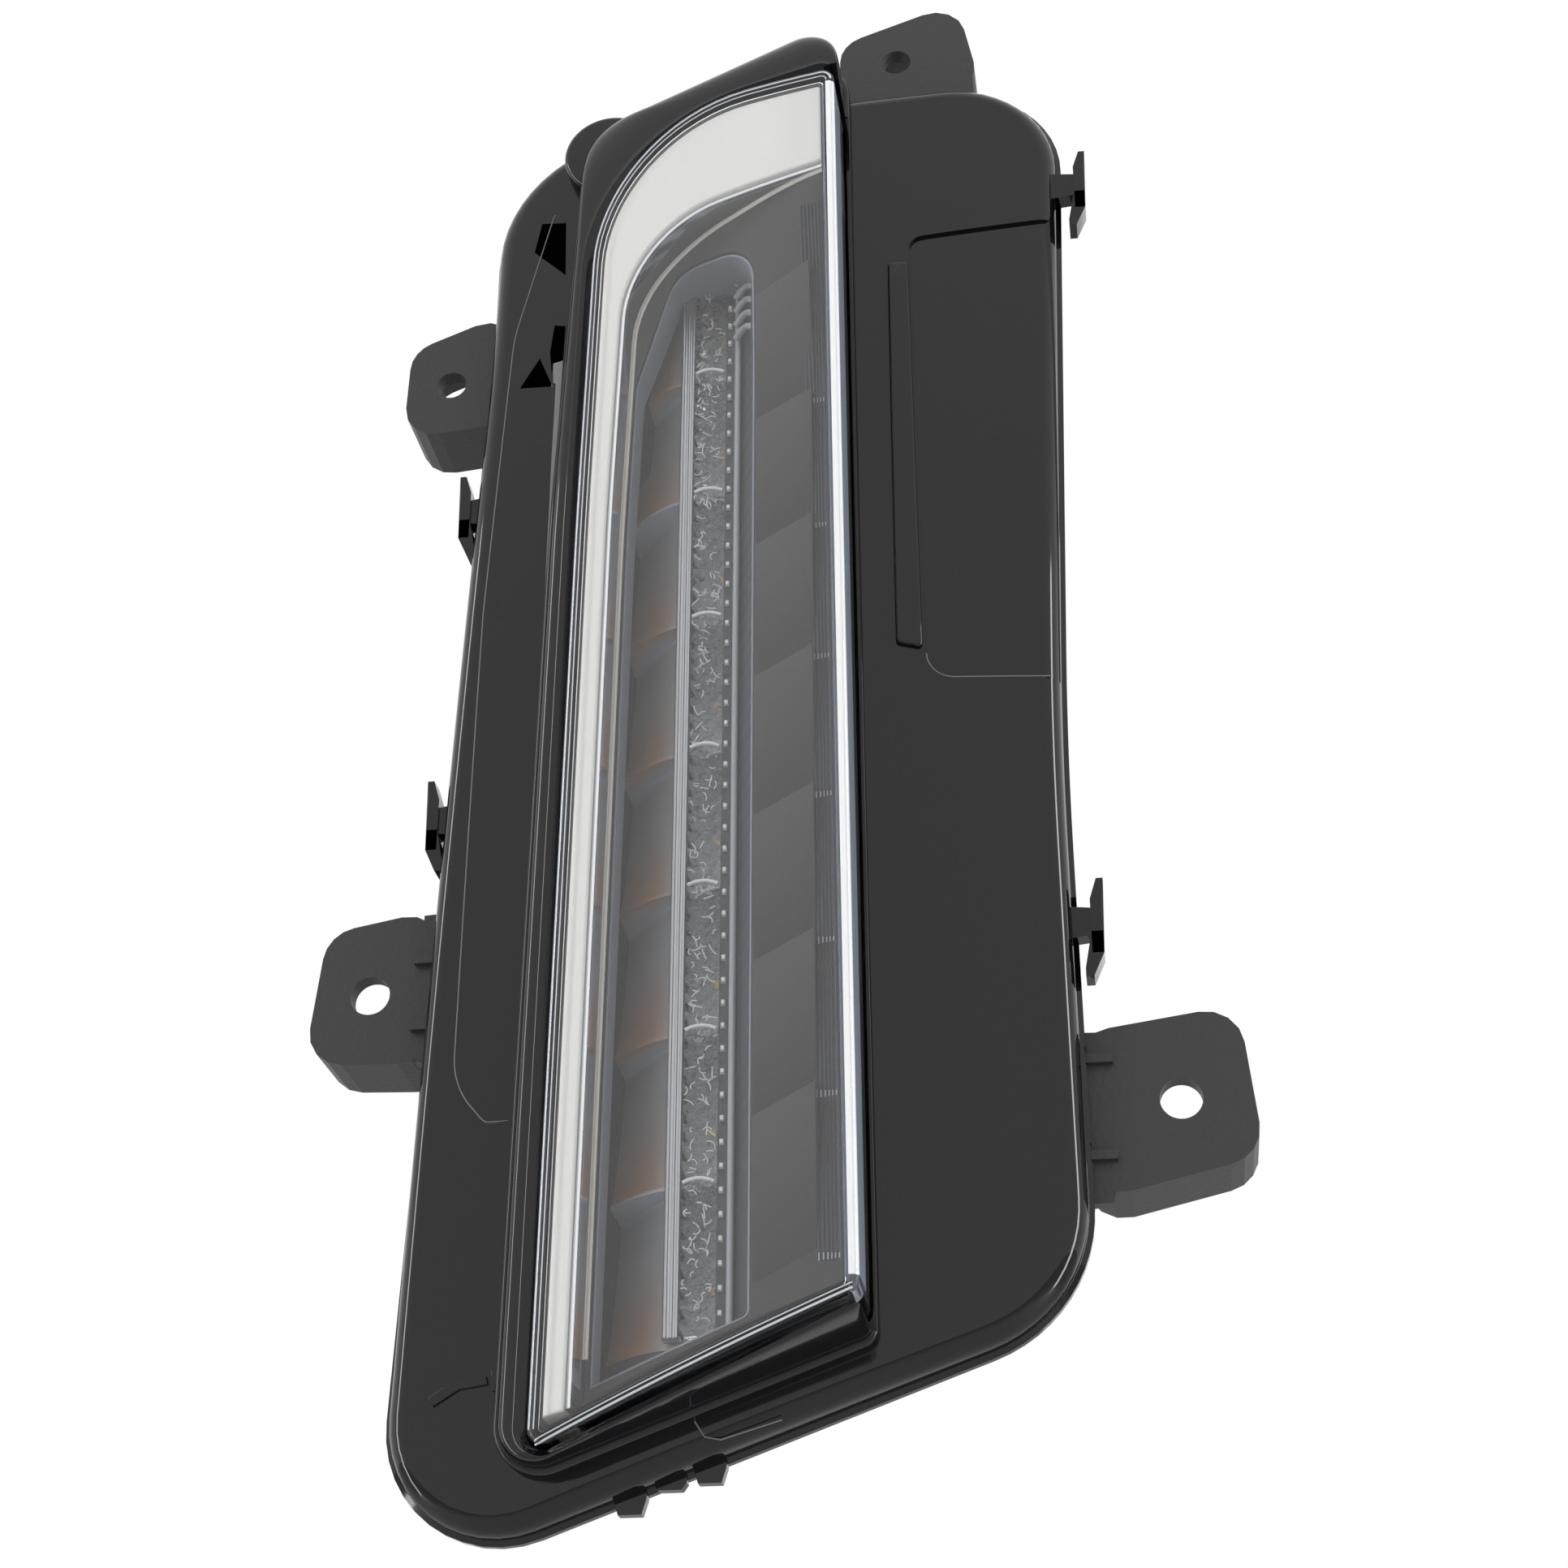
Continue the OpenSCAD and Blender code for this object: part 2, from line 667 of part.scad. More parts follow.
module web_rib(from, to, depth) {
    along = to - from;
    side = rib_w / 2 * unit([-along[1], along[0]]);
    slab(foot_y + web_t - 0.4, foot_y + depth)
        polygon([from - side, to - side, to + side, from + side]);
}

// Short ribs on the front of a foot, where it leaves the surround
module front_ribs(x0, x1, z, offsets) {
    for (dz = offsets)
        block([x0, foot_y - 1.4, z + dz - rib_w / 2], [x1, foot_y + 1, z + dz + rib_w / 2]);
}

module rear_housing() {
    tub = grown(lens_corners, -lens_t);
    color([0.09, 0.09, 0.095])
    at_mount()
    difference() {
        union() {
            // sealing channel and tub
            slab(channel_y, tub_y) polygon(profile(grown(lens_corners, channel_out)));
            slab(tub_y - 1, housing_back) polygon(profile(tub));
            web(right_web);
            web(left_web);
            web(left_upper_web);
            web(top_web);
            foot(right_foot);
            foot(left_foot);
            foot(left_upper_foot);
            foot(top_foot);
            for (dz = [8, -13])
                web_rib([lens_x - 4, right_foot_hole[1] + dz], [right_foot_hole[0] - 14, right_foot_hole[1] + dz], 9);
            for (dz = [10, -9])
                web_rib([left_foot_hole[0] + 10, left_foot_hole[1] + dz], [lens_left_x + 4, left_foot_hole[1] + dz], 9);
            for (dz = [11, -7])
                web_rib([left_upper_hole[0] + 11, left_upper_hole[1] + dz], [lens_left_x + 8, left_upper_hole[1] + dz], 9);
            web_rib([top_foot_hole[0] - 8, upper_z - 14], [top_foot_hole[0] - 8, top_foot_hole[1] - 6], 9);
            web_rib([top_foot_hole[0] + 3, upper_z - 14], [top_foot_hole[0] + 3, top_foot_hole[1] - 6], 9);
            front_ribs(bezel_right - 2.6, right_foot_hole[0] - 11, right_foot_hole[1], [7.4, -9.6]);
            front_ribs(left_foot_hole[0] + 8, bezel_left + 3.6, left_foot_hole[1], [6, -6.6]);
            // heat sink screw bosses outside the floor
            for (p = sink_screw_points) rod(p, 2.4, housing_back - 1, housing_back + gasket_t - 0.2);
        }
        // channel groove for the lens foot and its sealant
        difference() {
            slab(channel_y - 1, foot_inner_y) polygon(profile(grown(lens_corners, sealant_side)));
            slab(channel_y - 2, foot_inner_y + 1) polygon(profile(grown(lens_corners, -lens_t)));
        }
        slab(channel_y - 1, floor_y)
            polygon(profile(grown(lens_corners, -lens_t - housing_t)));
        // pedestal opening, connector opening and vent
        slab(floor_y - 1, housing_back + 2)
            polygon(profile(rectangle([pedestal_x, (sink_top + sink_bottom) / 2],
                pedestal_w + 2 * ease, pedestal_len + 2 * ease, 3)));
        slab(floor_y - 1, housing_back + 1)
            polygon(profile(rectangle([socket_x, socket_z],
                socket_w + 2 * socket_t + 2 * ease, socket_h + 2 * socket_t + 2 * ease, 2.5)));
        rod([vent_x, vent_z], vent_r - 1.6, floor_y - 1, housing_back + 2);
        // screw holes
        rod(right_foot_hole, foot_hole_r, foot_y - 2, foot_y + foot_depth);
        rod(left_foot_hole, foot_hole_r, foot_y - 2, foot_y + foot_depth);
        rod(left_upper_hole, foot_hole_upper_r, foot_y - 2, foot_y + foot_depth);
        rod(top_foot_hole, foot_hole_upper_r, foot_y - 2, foot_y + foot_depth);
        for (p = boss_points) rod(p, boss_screw_r + 0.3, foot_y - 2, foot_y + web_t + 12);
        for (p = sink_screw_points) rod(p, sink_screw_r + 0.1, floor_y - 1, housing_back + 2);
        for (p = inner_screw_points) rod(p, inner_screw_r + 0.3, floor_y - 1, housing_back + 1);
    }
}

// Corners of a rectangle round a centre, with one corner radius
function rectangle(centre, w, h, r) = [
    [centre[0] + w / 2, centre[1] - h / 2, r],
    [centre[0] + w / 2, centre[1] + h / 2, r],
    [centre[0] - w / 2, centre[1] + h / 2, r],
    [centre[0] - w / 2, centre[1] - h / 2, r]];

// Outlines inside the lens: the trims step inwards from its wall
trim_outline = grown(lens_corners, -lens_t - trim_gap);
strip_drop = 8.4;
strip_sweep_r = 24;
strip_inner = [
    [trim_outline[0][0] + 4, trim_outline[0][1] - 6, 2],
    [trim_outline[1][0] + 4, trim_outline[1][1] - strip_end_h, 2],
    [trim_outline[2][0] + strip_w, trim_outline[1][1] - strip_end_h - strip_drop, strip_sweep_r],
    [trim_outline[3][0] + strip_w, trim_outline[3][1], trim_outline[3][2]],
    [trim_outline[4][0] + strip_w, trim_outline[4][1] - 6, 2]];
bright_inner = grown(strip_inner, [0, -bright_w, -bright_w, -bright_w, 0]);
strip_wall = 1.9;
strip_behind = 2.6;
inner_y = channel_y - inner_t;

// White strip along the left side and the top, widest at its upper right end
module accent_strip() {
    color([0.93, 0.92, 0.88])
    at_mount()
    difference() {
        intersection() {
            slab(-lens_right_proud, channel_y) polygon(profile(trim_outline));
            lens_front(strip_behind);
        }
        slab(-lens_right_proud - 1, channel_y + 1) polygon(profile(strip_inner));
        // hollow behind its wide end
        intersection() {
            difference() {
                slab(-lens_right_proud, channel_y + 1) polygon(profile(grown(trim_outline, -strip_wall)));
                slab(-lens_right_proud - 1, channel_y + 2) polygon(profile(grown(strip_inner, strip_wall)));
            }
            lens_front(strip_behind + strip_wall);
        }
        block([lens_left_x - 5, -lens_right_proud, lens_z - lens_bottom_drop - 5],
            [lens_x, channel_y + 1, lens_z - lens_bottom_drop + 12]);
    }
}

// Bright band that edges the white strip
module bright_trim() {
    color([0.75, 0.77, 0.8])
    at_mount()
    difference() {
        intersection() {
            slab(-lens_right_proud, channel_y) polygon(profile(grown(strip_inner, -0.05)));
            slab(-lens_right_proud - 1, channel_y + 1) polygon(profile(trim_outline));
            lens_front(strip_behind + 0.8);
        }
        slab(-lens_right_proud - 2, channel_y + 1) polygon(profile(bright_inner));
    }
}

// The window in the inner bezel over the light row
window_border = 1.4;
window_corners = [
    [row_right, row_bottom + 1.2, 1],
    [row_right, row_top, 6],
    [row_left - 1, row_top, 16],
    [row_left - 1, row_bottom - 1, 1]];
module window_shape(inset) {
    intersection() {
        polygon(profile(grown(window_corners, -inset)));
        polygon(profile(grown(bright_inner, -window_border - inset)));
    }
}

// Dark bezel that lies behind the lens and follows its face, with one slanted scallop for
// each cell. Its right side falls to the light row on a slope
inner_behind = 11.6;
scallop_r = 26;
scallop_sink = 0.7;
slope_w = 4.6;
slope_y = 2.4;
hem_t = 1.2;
module inner_bezel() {
    slope_top = front_y(row_right + slope_w, inner_behind);
    color([0.13, 0.13, 0.14])
    at_mount()
    difference() {
        union() {
            intersection() {
                slab(-lens_right_proud, channel_y) polygon(profile(grown(bright_inner, -0.05)));
                slab(-lens_right_proud - 1, channel_y + 1) polygon(profile(trim_outline));
                difference() {
                    lens_front(inner_behind);
                    lens_front(inner_behind + inner_t);
                }
            }
            // hem that turns back round the window, wider behind the slope, and the posts
            intersection() {
                union() {
                    slab(-lens_right_proud, reflector_y - 0.1)
                        intersection() {
                            polygon(profile(grown(window_corners, [slope_w + 2, hem_t, hem_t, hem_t])));
                            polygon(profile(grown(bright_inner, hem_t - window_border)));
                        }
                    for (p = inner_screw_points) rod(p, 2.6, -lens_right_proud, floor_y);
                }
                lens_front(inner_behind + 0.5);
            }
        }
        slab(-lens_right_proud - 2, reflector_y + 1) window_shape(0);
        prism(row_bottom + 6, row_top - 8,
            [[row_right - 2, reflector_y - slope_y], [row_right - 2, slope_top - 6],
                [row_right + slope_w + 1.4, slope_top - 6], [row_right + slope_w, slope_top],
                [row_right, reflector_y - slope_y]]);
        // hollow behind the slope
        prism(row_bottom + 3, row_top - 5,
            [[row_right + 2, reflector_y + 1], [row_right + slope_w + 0.6, slope_top + slope_y + 2],
                [row_right + slope_w + 0.6, reflector_y + 1]]);
        for (k = [0:cells - 1])
            translate([row_right + 11, front_y(row_right + 11, inner_behind) - scallop_r + scallop_sink,
                row_bottom + cell_pitch * (k + 0.9)])
                rotate([0, 0, -face_lean])
                    rotate([0, -62, 0])
                        cylinder(r = scallop_r, h = 60, center = true, $fn = 96);
        for (p = inner_screw_points) rod(p, inner_screw_r + 0.1, inner_y + 5, floor_y + 1);
    }
}

// A solid of one X and Y outline between two heights
module prism(z0, z1, points) {
    translate([0, 0, z0]) linear_extrude(height = z1 - z0) polygon(points);
}

// Reflector with a parabolic cell in front of each light source
lip_fall = 6.5;
module reflector() {
    color([0.62, 0.63, 0.65])
    at_mount()
    difference() {
        intersection() {
            block([row_left, reflector_y, row_bottom], [row_right, board_y, row_top]);
            // the upper left corner follows the window
            slab(reflector_y - 1, board_y + 1) polygon(profile(grown(bright_inner, -0.4)));
        }
        intersection() {
            union()
                for (k = [0:cells - 1]) cell_cavity(row_bottom + cell_pitch * k);
            slab(reflector_y - 2, board_y + 2)
                polygon(profile(grown(bright_inner, -0.4 - cell_wall)));
        }
        // the lips between the cells fall back beside the optic
        intersection() {
            prism(row_bottom + cell_wall, row_top - cell_wall,
                [[optic_left, reflector_y], [row_left + cell_wall, reflector_y + lip_fall],
                    [row_left + cell_wall, reflector_y - 1], [optic_left, reflector_y - 1]]);
            slab(reflector_y - 2, board_y + 2)
                polygon(profile(grown(bright_inner, -0.4 - cell_wall)));
        }
        for (p = board_screw_points) rod(p, 2.6, board_y - 1.6, board_y + 1);
    }
}

function parabola(w, depth, steps) =
    [for (i = [0:steps]) let (u = 2 * i / steps - 1) [w / 2 * u, -depth * (1 - u * u)]];

// One cell: a parabola across its width, swept along the cell, and a hole for the source
module cell_cavity(z) {
    w = reflector_w - 2 * cell_wall;
    depth = reflector_depth - 2;
    translate([row_left + reflector_w / 2, reflector_y, z + cell_wall / 2])
        linear_extrude(height = cell_pitch - cell_wall)
            mirror([0, 1])
                polygon(concat(parabola(w, depth, 14), [[w / 2, 1], [-w / 2, 1]]));
    block([led_x - led_size, reflector_y + 2, z + cell_pitch / 2 - led_size],
        [led_x + led_size, board_y + 1, z + cell_pitch / 2 + led_size]);
}

// Clear optic bar with a pillow over each part of a cell and a serrated edge
module inner_optic() {
    top = row_top - 1;
    bottom = row_bottom + 1;
    count = cells * pillows;
    pitch = (top - bottom) / count;
    pillow_r = 14;
    front = reflector_y - optic_t;
    color([0.8, 0.82, 0.85, 0.5])
    at_mount()
    intersection() {
        slab(front - 3, reflector_y) window_shape(ease);
        union() {
            block([optic_left, front, bottom], [optic_right, reflector_y, top]);
            intersection() {
                block([optic_left, front - 2, bottom], [optic_left + 6.6, front + 0.5, top]);
                union()
                    for (k = [0:count - 1])
                        translate([optic_left + 3.2, front + pillow_r - 0.9, bottom + pitch * (k + 0.5)])
                            rotate([0, 90, 0])
                                cylinder(r = pillow_r, h = 9, center = true, $fn = 96);
            }
            // serrated ridge
            for (k = [0:count * 2 - 1])
                translate([optic_left + 7.2, front, bottom + pitch / 2 * (k + 0.5)])
                    rotate([0, 0, 45])
                        cube([1.3, 1.3, pitch / 3], center = true);
        }
    }
}

// Board that carries one light source for each cell
board_w = 21;
module led_board() {
    color([0.9, 0.9, 0.88])
    at_mount()
    difference() {
        intersection() {
            block([board_mid_x - board_w / 2, board_y, row_bottom + 2],
                [board_mid_x + board_w / 2, pad_y, row_top - 8]);
            slab(board_y - 1, pad_y + 1)
                polygon(profile(grown(lens_corners, -lens_t - housing_t - ease)));
        }
        for (p = board_screw_points) rod(p, 1.5, board_y - 1, pad_y + 1);
    }
}

package_t = 0.7;
module led_packages() {
    color([0.95, 0.94, 0.9])
    at_mount()
    for (k = [0:cells - 1])
        translate([led_x, board_y - package_t / 2, row_bottom + cell_pitch * (k + 0.5)])
            cube([led_size, package_t, led_size], center = true);
}

emitter_t = 0.25;
module led_emitters() {
    color([0.95, 0.75, 0.2])
    at_mount()
    for (k = [0:cells - 1])
        rod([led_x, row_bottom + cell_pitch * (k + 0.5)], led_size * 0.4,
            board_y - package_t - emitter_t, board_y - package_t);
}

// Board screws stand in the walls between the cells
board_screw_points = [for (k = [2:2:cells - 2]) [board_mid_x - 3.4, row_bottom + cell_pitch * k]];
module led_board_screws() {
    color([0.6, 0.6, 0.62])
    at_mount()
    for (p = board_screw_points) screw(p, board_y - 1.2, board_y, pad_y + 4, 1.2, 2.2);
}

// A screw along Y: its head from y0 to y1, its shank on to y2
module screw(p, y0, y1, y2, shank_r, head_r) {
    union() {
        difference() {
            rod(p, head_r, min(y0, y1), max(y0, y1));
            translate([p[0], y0, p[1]])
                rotate([90, 0, 0])
                    cylinder(r = head_r * 0.45, h = abs(y1 - y0), center = true, $fn = 6);
        }
        rod(p, shank_r, min(y1, y2), max(y1, y2));
    }
}

// Pad between the board and the heat sink's pedestal
module thermal_pad() {
    color([0.55, 0.6, 0.7])
    at_mount()
    difference() {
        block([pedestal_x - pedestal_w / 2 + 0.5, pad_y, (sink_top + sink_bottom - pedestal_len) / 2 + 1],
            [pedestal_x + pedestal_w / 2 - 0.5, pedestal_y, (sink_top + sink_bottom + pedestal_len) / 2 - 1]);
        for (p = board_screw_points) rod(p, 1.5, pad_y - 1, pedestal_y + 1);
    }
}

sink_screw_r = 1.6;
sink_screw_points = [
    [sink_mid_x - sink_w / 2 + 3.4, sink_top - 10],
    [sink_mid_x + sink_w / 2 - 3.4, sink_top - 10],
    [sink_mid_x - sink_w / 2 + 3.4, sink_bottom + 10],
    [sink_mid_x + sink_w / 2 - 3.4, sink_bottom + 10]];

// Die-cast heat sink: pedestal through the housing floor, base outside it, fins behind
module heat_sink() {
    mid = [sink_mid_x, (sink_top + sink_bottom) / 2];
    fin_pitch = (sink_w - 9 - fin_t) / (fins - 1);
    color([0.66, 0.67, 0.69])
    at_mount()
    difference() {
        union() {
            slab(pedestal_y, sink_y + 1)
                polygon(profile(rectangle([pedestal_x, mid[1]], pedestal_w, pedestal_len, 2.7)));
            slab(sink_y, sink_y + sink_t) polygon(profile(rectangle(mid, sink_w, sink_len, 4)));
            for (k = [0:fins - 1])
                block([mid[0] - sink_w / 2 + 4.5 + fin_pitch * k, sink_y + sink_t - 0.5, sink_bottom + 16],
                    [mid[0] - sink_w / 2 + 4.5 + fin_t + fin_pitch * k, sink_y + sink_t + fin_len, sink_top - 16]);
        }
        for (p = sink_screw_points) rod(p, sink_screw_r + 0.3, sink_y - 1, sink_y + sink_t + 1);
        for (p = board_screw_points) rod(p, 1.25, pedestal_y - 1, pedestal_y + 4);
    }
}

module heat_sink_gasket() {
    mid = [pedestal_x, (sink_top + sink_bottom) / 2];
    color([0.15, 0.15, 0.15])
    at_mount()
    difference() {
        slab(housing_back, sink_y)
            polygon(profile(rectangle(mid, pedestal_w + 4, pedestal_len + 4, 5)));
        slab(housing_back - 1, sink_y + 1)
            polygon(profile(rectangle(mid, pedestal_w + 2 * ease, pedestal_len + 2 * ease, 3)));
    }
}

module heat_sink_screws() {
    color([0.7, 0.7, 0.72])
    at_mount()
    for (p = sink_screw_points)
        screw(p, sink_y + sink_t + 2.4, sink_y + sink_t, floor_y - 0.5, sink_screw_r, 3.1);
}

// Driver board on the floor of the housing, beside the light row
driver_x = row_right + 5.4;
driver_w = lens_x - lens_t - housing_t - 1.6 - driver_x;
driver_bottom = row_bottom + 20;
driver_len = 88;
link_t = 0.3;
driver_face = pad_y + link_t;
driver_y = driver_face + board_t;
module driver_board() {
    color([0.12, 0.35, 0.2])
    at_mount()
    union() {
        block([driver_x, driver_face, driver_bottom],
            [driver_x + driver_w, driver_y, driver_bottom + driver_len]);
        for (z = [driver_bottom + 3, driver_bottom + driver_len - 3])
            rod([driver_x + driver_w / 2, z], 1.6, driver_y, floor_y);
    }
}

chips_start = 57;
chip_pitch = 5;
module driver_components() {
    face = driver_face;
    mid = driver_x + driver_w / 2;
    color([0.1, 0.1, 0.11])
    at_mount()
    union() {
        rod([mid, driver_bottom + 14], 3.4, face - 8, face);
        rod([mid, driver_bottom + 24], 3.4, face - 8, face);
        block([mid - 3.2, face - 4.4, driver_bottom + 32], [mid + 3.2, face, driver_bottom + 40]);
        block([mid - 2.6, face - 1.2, driver_bottom + 46], [mid + 2.6, face, driver_bottom + 52]);
        for (k = [0:floor((driver_len - chips_start - 6) / chip_pitch) - 1])
            block([mid - 1.6, face - 0.8, driver_bottom + chips_start + chip_pitch * k],
                [mid + 1.6, face, driver_bottom + chips_start + 2 + chip_pitch * k]);
    }
}

// Flat flex that joins the two boards
module board_link() {
    z = driver_bottom + driver_len - 12;
    color([0.75, 0.5, 0.15])
    at_mount()
    block([board_mid_x + board_w / 2 - 0.9, pad_y, z], [driver_x + 2, driver_face, z + 6]);
}

// Male socket for the vehicle's plug, with a flange against the housing floor
module connector_socket() {
    centre = [socket_x, socket_z];
    outer = rectangle(centre, socket_w + 2 * socket_t, socket_h + 2 * socket_t, 2.4);
    color([0.16, 0.16, 0.17])
    at_mount()
    difference() {
        union() {
            slab(floor_y - 2, housing_back + 2 + socket_depth) polygon(profile(outer));
            slab(housing_back + 1, housing_back + 2.8) polygon(profile(grown(outer, 2.6)));
            // latch ramp for the plug
            block([centre[0] - 2.4, housing_back + 9, centre[1] + socket_h / 2 + socket_t - 0.5],
                [centre[0] + 2.4, housing_back + 12, centre[1] + socket_h / 2 + socket_t + 1.2]);
        }
        slab(housing_back + 2, housing_back + 3 + socket_depth)
            polygon(profile(rectangle(centre, socket_w, socket_h, 1.2)));
        for (p = terminal_points) terminal_slot(p);
    }
}

terminal_pitch = 4.4;
terminal_points = [for (k = [-1:1]) [socket_x + terminal_pitch * k, socket_z]];
terminal_w = 1.5;
module terminal_slot(p) {
    block([p[0] - terminal_w / 2, floor_y - 3, p[1] - 0.4], [p[0] + terminal_w / 2, housing_back + 3, p[1] + 0.4]);
}

module connector_terminals() {
    color([0.8, 0.78, 0.7])
    at_mount()
    for (p = terminal_points)
        block([p[0] - terminal_w / 2, pad_y, p[1] - 0.4],
            [p[0] + terminal_w / 2, housing_back + 2 + socket_depth * 0.7, p[1] + 0.4]);
}

module connector_seal() {
    centre = [socket_x, socket_z];
    outer = rectangle(centre, socket_w + 2 * socket_t, socket_h + 2 * socket_t, 2.4);
    color([0.75, 0.3, 0.15])
    at_mount()
    difference() {
        slab(housing_back, housing_back + 1) polygon(profile(grown(outer, 2)));
        slab(housing_back - 1, housing_back + 2) polygon(profile(grown(outer, 0.1)));
    }
}

// Vent: a disc over the hole and a cap with side slots
membrane_t = 0.3;
module vent_membrane() {
    color([0.92, 0.92, 0.9])
    at_mount()
    rod([vent_x, vent_z], vent_r, housing_back, housing_back + membrane_t);
}

module vent_cap() {
    r = vent_r + 2.4;
    y = housing_back;
    color([0.1, 0.1, 0.105])
    at_mount()
    difference() {
        union() {
            rod([vent_x, vent_z], r, y, y + 5);
            rod([vent_x, vent_z], r - 1, y + 4.5, y + 5.8);
        }
        rod([vent_x, vent_z], r - 1.6, y - 1, y + 4);
        for (a = [0:60:300])
            translate([vent_x, y + 2.4, vent_z])
                rotate([0, a, 0])
                    translate([r - 1, 0, 0])
                        cube([4, 2, 1.6], center = true);
    }
}

// Screws from behind each web into the surround's bosses
module bezel_screws() {
    back = foot_y + web_t;
    color([0.35, 0.35, 0.37])
    at_mount()
    for (p = boss_points) screw(p, back + 2.2, back, crown(p) + bezel_t + 2, boss_screw_r, 3.2);
}

// Screws through the housing floor into the inner bezel's posts
inner_screw_r = 1;
inner_screw_points = [
    [inner_screw_x, row_bottom + 9],
    [inner_screw_x - lens_lean + 0.2, row_top - 28]];
module inner_bezel_screws() {
    color([0.35, 0.35, 0.37])
    at_mount()
    for (p = inner_screw_points) screw(p, housing_back + 2, housing_back, inner_y + 8, inner_screw_r, 2);
}

bezel();
outer_lens();
lens_sealant();
rear_housing();
inner_bezel();
accent_strip();
bright_trim();
reflector();
inner_optic();
led_board();
led_packages();
led_emitters();
led_board_screws();
thermal_pad();
heat_sink();
heat_sink_gasket();
heat_sink_screws();
driver_board();
driver_components();
board_link();
connector_socket();
connector_terminals();
connector_seal();
vent_cap();
vent_membrane();
bezel_screws();
inner_bezel_screws();
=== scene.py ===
"""Looks for the bumper daytime running light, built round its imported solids.

Shapes are made in the lamp's own frame, in millimetres: x to the right, y back from the lamp's
face, z up. done() takes each finished mesh to the part's frame.
"""
import math

import bmesh
import bpy
import numpy as np
from mathutils import Matrix, Vector
from mathutils.geometry import delaunay_2d_cdt


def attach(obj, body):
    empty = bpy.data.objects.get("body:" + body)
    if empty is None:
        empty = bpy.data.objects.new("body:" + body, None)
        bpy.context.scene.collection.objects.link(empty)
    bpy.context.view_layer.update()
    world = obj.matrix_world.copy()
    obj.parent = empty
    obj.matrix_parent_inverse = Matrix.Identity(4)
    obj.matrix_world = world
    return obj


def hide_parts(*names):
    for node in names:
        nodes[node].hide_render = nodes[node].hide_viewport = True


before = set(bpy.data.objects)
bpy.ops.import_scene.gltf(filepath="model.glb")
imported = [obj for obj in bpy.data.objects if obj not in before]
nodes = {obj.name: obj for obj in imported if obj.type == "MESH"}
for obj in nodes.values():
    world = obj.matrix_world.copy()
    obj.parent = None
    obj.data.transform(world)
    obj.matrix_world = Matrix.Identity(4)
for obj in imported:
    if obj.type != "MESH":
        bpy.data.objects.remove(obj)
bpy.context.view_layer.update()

# The lower right foot's hole, where the part's frame starts
MOUNT = (65.0, 12.4, -57.0)
TO_ROW = Matrix.Scale(0.001, 4) @ Matrix.Translation([-c for c in MOUNT])

# Outlines of the lens, the surround, its raised rim, and the two parts of its face that lie lower.
# Each is a list of [x, z, corner radius], anticlockwise from the lower right corner. A radius
# below 0 gives how far from the corner its arc starts instead.
LENS = [[14, -96, 2], [12, 146, 2.5], [-35.8, 142, 34], [-37.9, 55, -9], [-40, -117, 3]]
BEZEL = [[49, -93.46, 25], [48.4, 8, -20], [54, 160, 20], [-58.4, 151, 28], [-58.4, 100, -18],
         [-67, -135.22, 19]]
BROW = [[15.1, -99.6, 3], [13.1, 166, 9], [-40.4, 149, 9], [-44.2, 60, -12], [-46.8, -122.4, 8]]
PANEL = [[74, 19, 1], [74, 125.5, 1], [24.1, 119, 3], [25.5, 20, 5]]
DROP = [[-45.2, -66, 4], [-39.2, 136, 4], [-46.2, 136, 6], [-53.6, 103, 40], [-56.4, 40, 80],
        [-57.1, -52, 14]]
PANEL_SINK, DROP_SINK = 0.7, 0.9

# How far the rim's crease lies from the lens at each of its edges, and the centre of the rim's ear
CREASE_OUT = [0.7, 3, 2.4, 2.4, 1.7]
EAR = (-35.0, 143.8)

# The lens's wall, the gap inside it, and the depths of the strip's channel and the reflector's front
LENS_T = 2.0
TRIM_GAP = 0.6
CHANNEL_Y = 7.2
REFLECTOR_Y = 10.4

# The light row
ROW_LEFT, ROW_TOP, ROW_BOTTOM = -32.6, 120.6, -97.0
OPTIC_RIGHT = -7.2
CELLS = 8
PITCH = 27.2


def unit(v):
    return v / np.linalg.norm(v)


def grown(c, d):
    """An outline moved outwards by d, or by one distance for each edge."""
    n = len(c)
    ds = d if isinstance(d, (list, tuple)) else [d] * n
    p = [np.array(q[:2], float) for q in c]

    def normal(i):
        e = unit(p[(i + 1) % n] - p[i])
        return np.array([e[1], -e[0]])

    out = []
    for i in range(n):
        before = (i - 1) % n
        n1, n2, d1, d2 = normal(before), normal(i), ds[before], ds[i]
        k = n1 @ n2
        move = (n1 * (d1 - k * d2) + n2 * (d2 - k * d1)) / (1 - k * k)
        r = c[i][2] if c[i][2] < 0 else max(c[i][2] + (d1 + d2) / 2, 0.8)
        out.append([*(p[i] + move), r])
    return out


def corner_arc(a, b, c, radius, steps):
    """The points of the arc that rounds the corner b."""
    u, w = unit(a - b), unit(c - b)
    half = math.acos(max(-1, min(1, u @ w))) / 2
    r = -radius * math.tan(half) if radius < 0 else radius
    centre = b + unit(u + w) * r / math.sin(half)
    p0, p1 = b + u * r / math.tan(half) - centre, b + w * r / math.tan(half) - centre
    start = math.atan2(p0[1], p0[0])
    turn = (math.atan2(p1[1], p1[0]) - start + 3 * math.pi) % (2 * math.pi) - math.pi
    at = start + turn * np.arange(steps + 1) / steps
    return centre + r * np.stack([np.cos(at), np.sin(at)], 1)


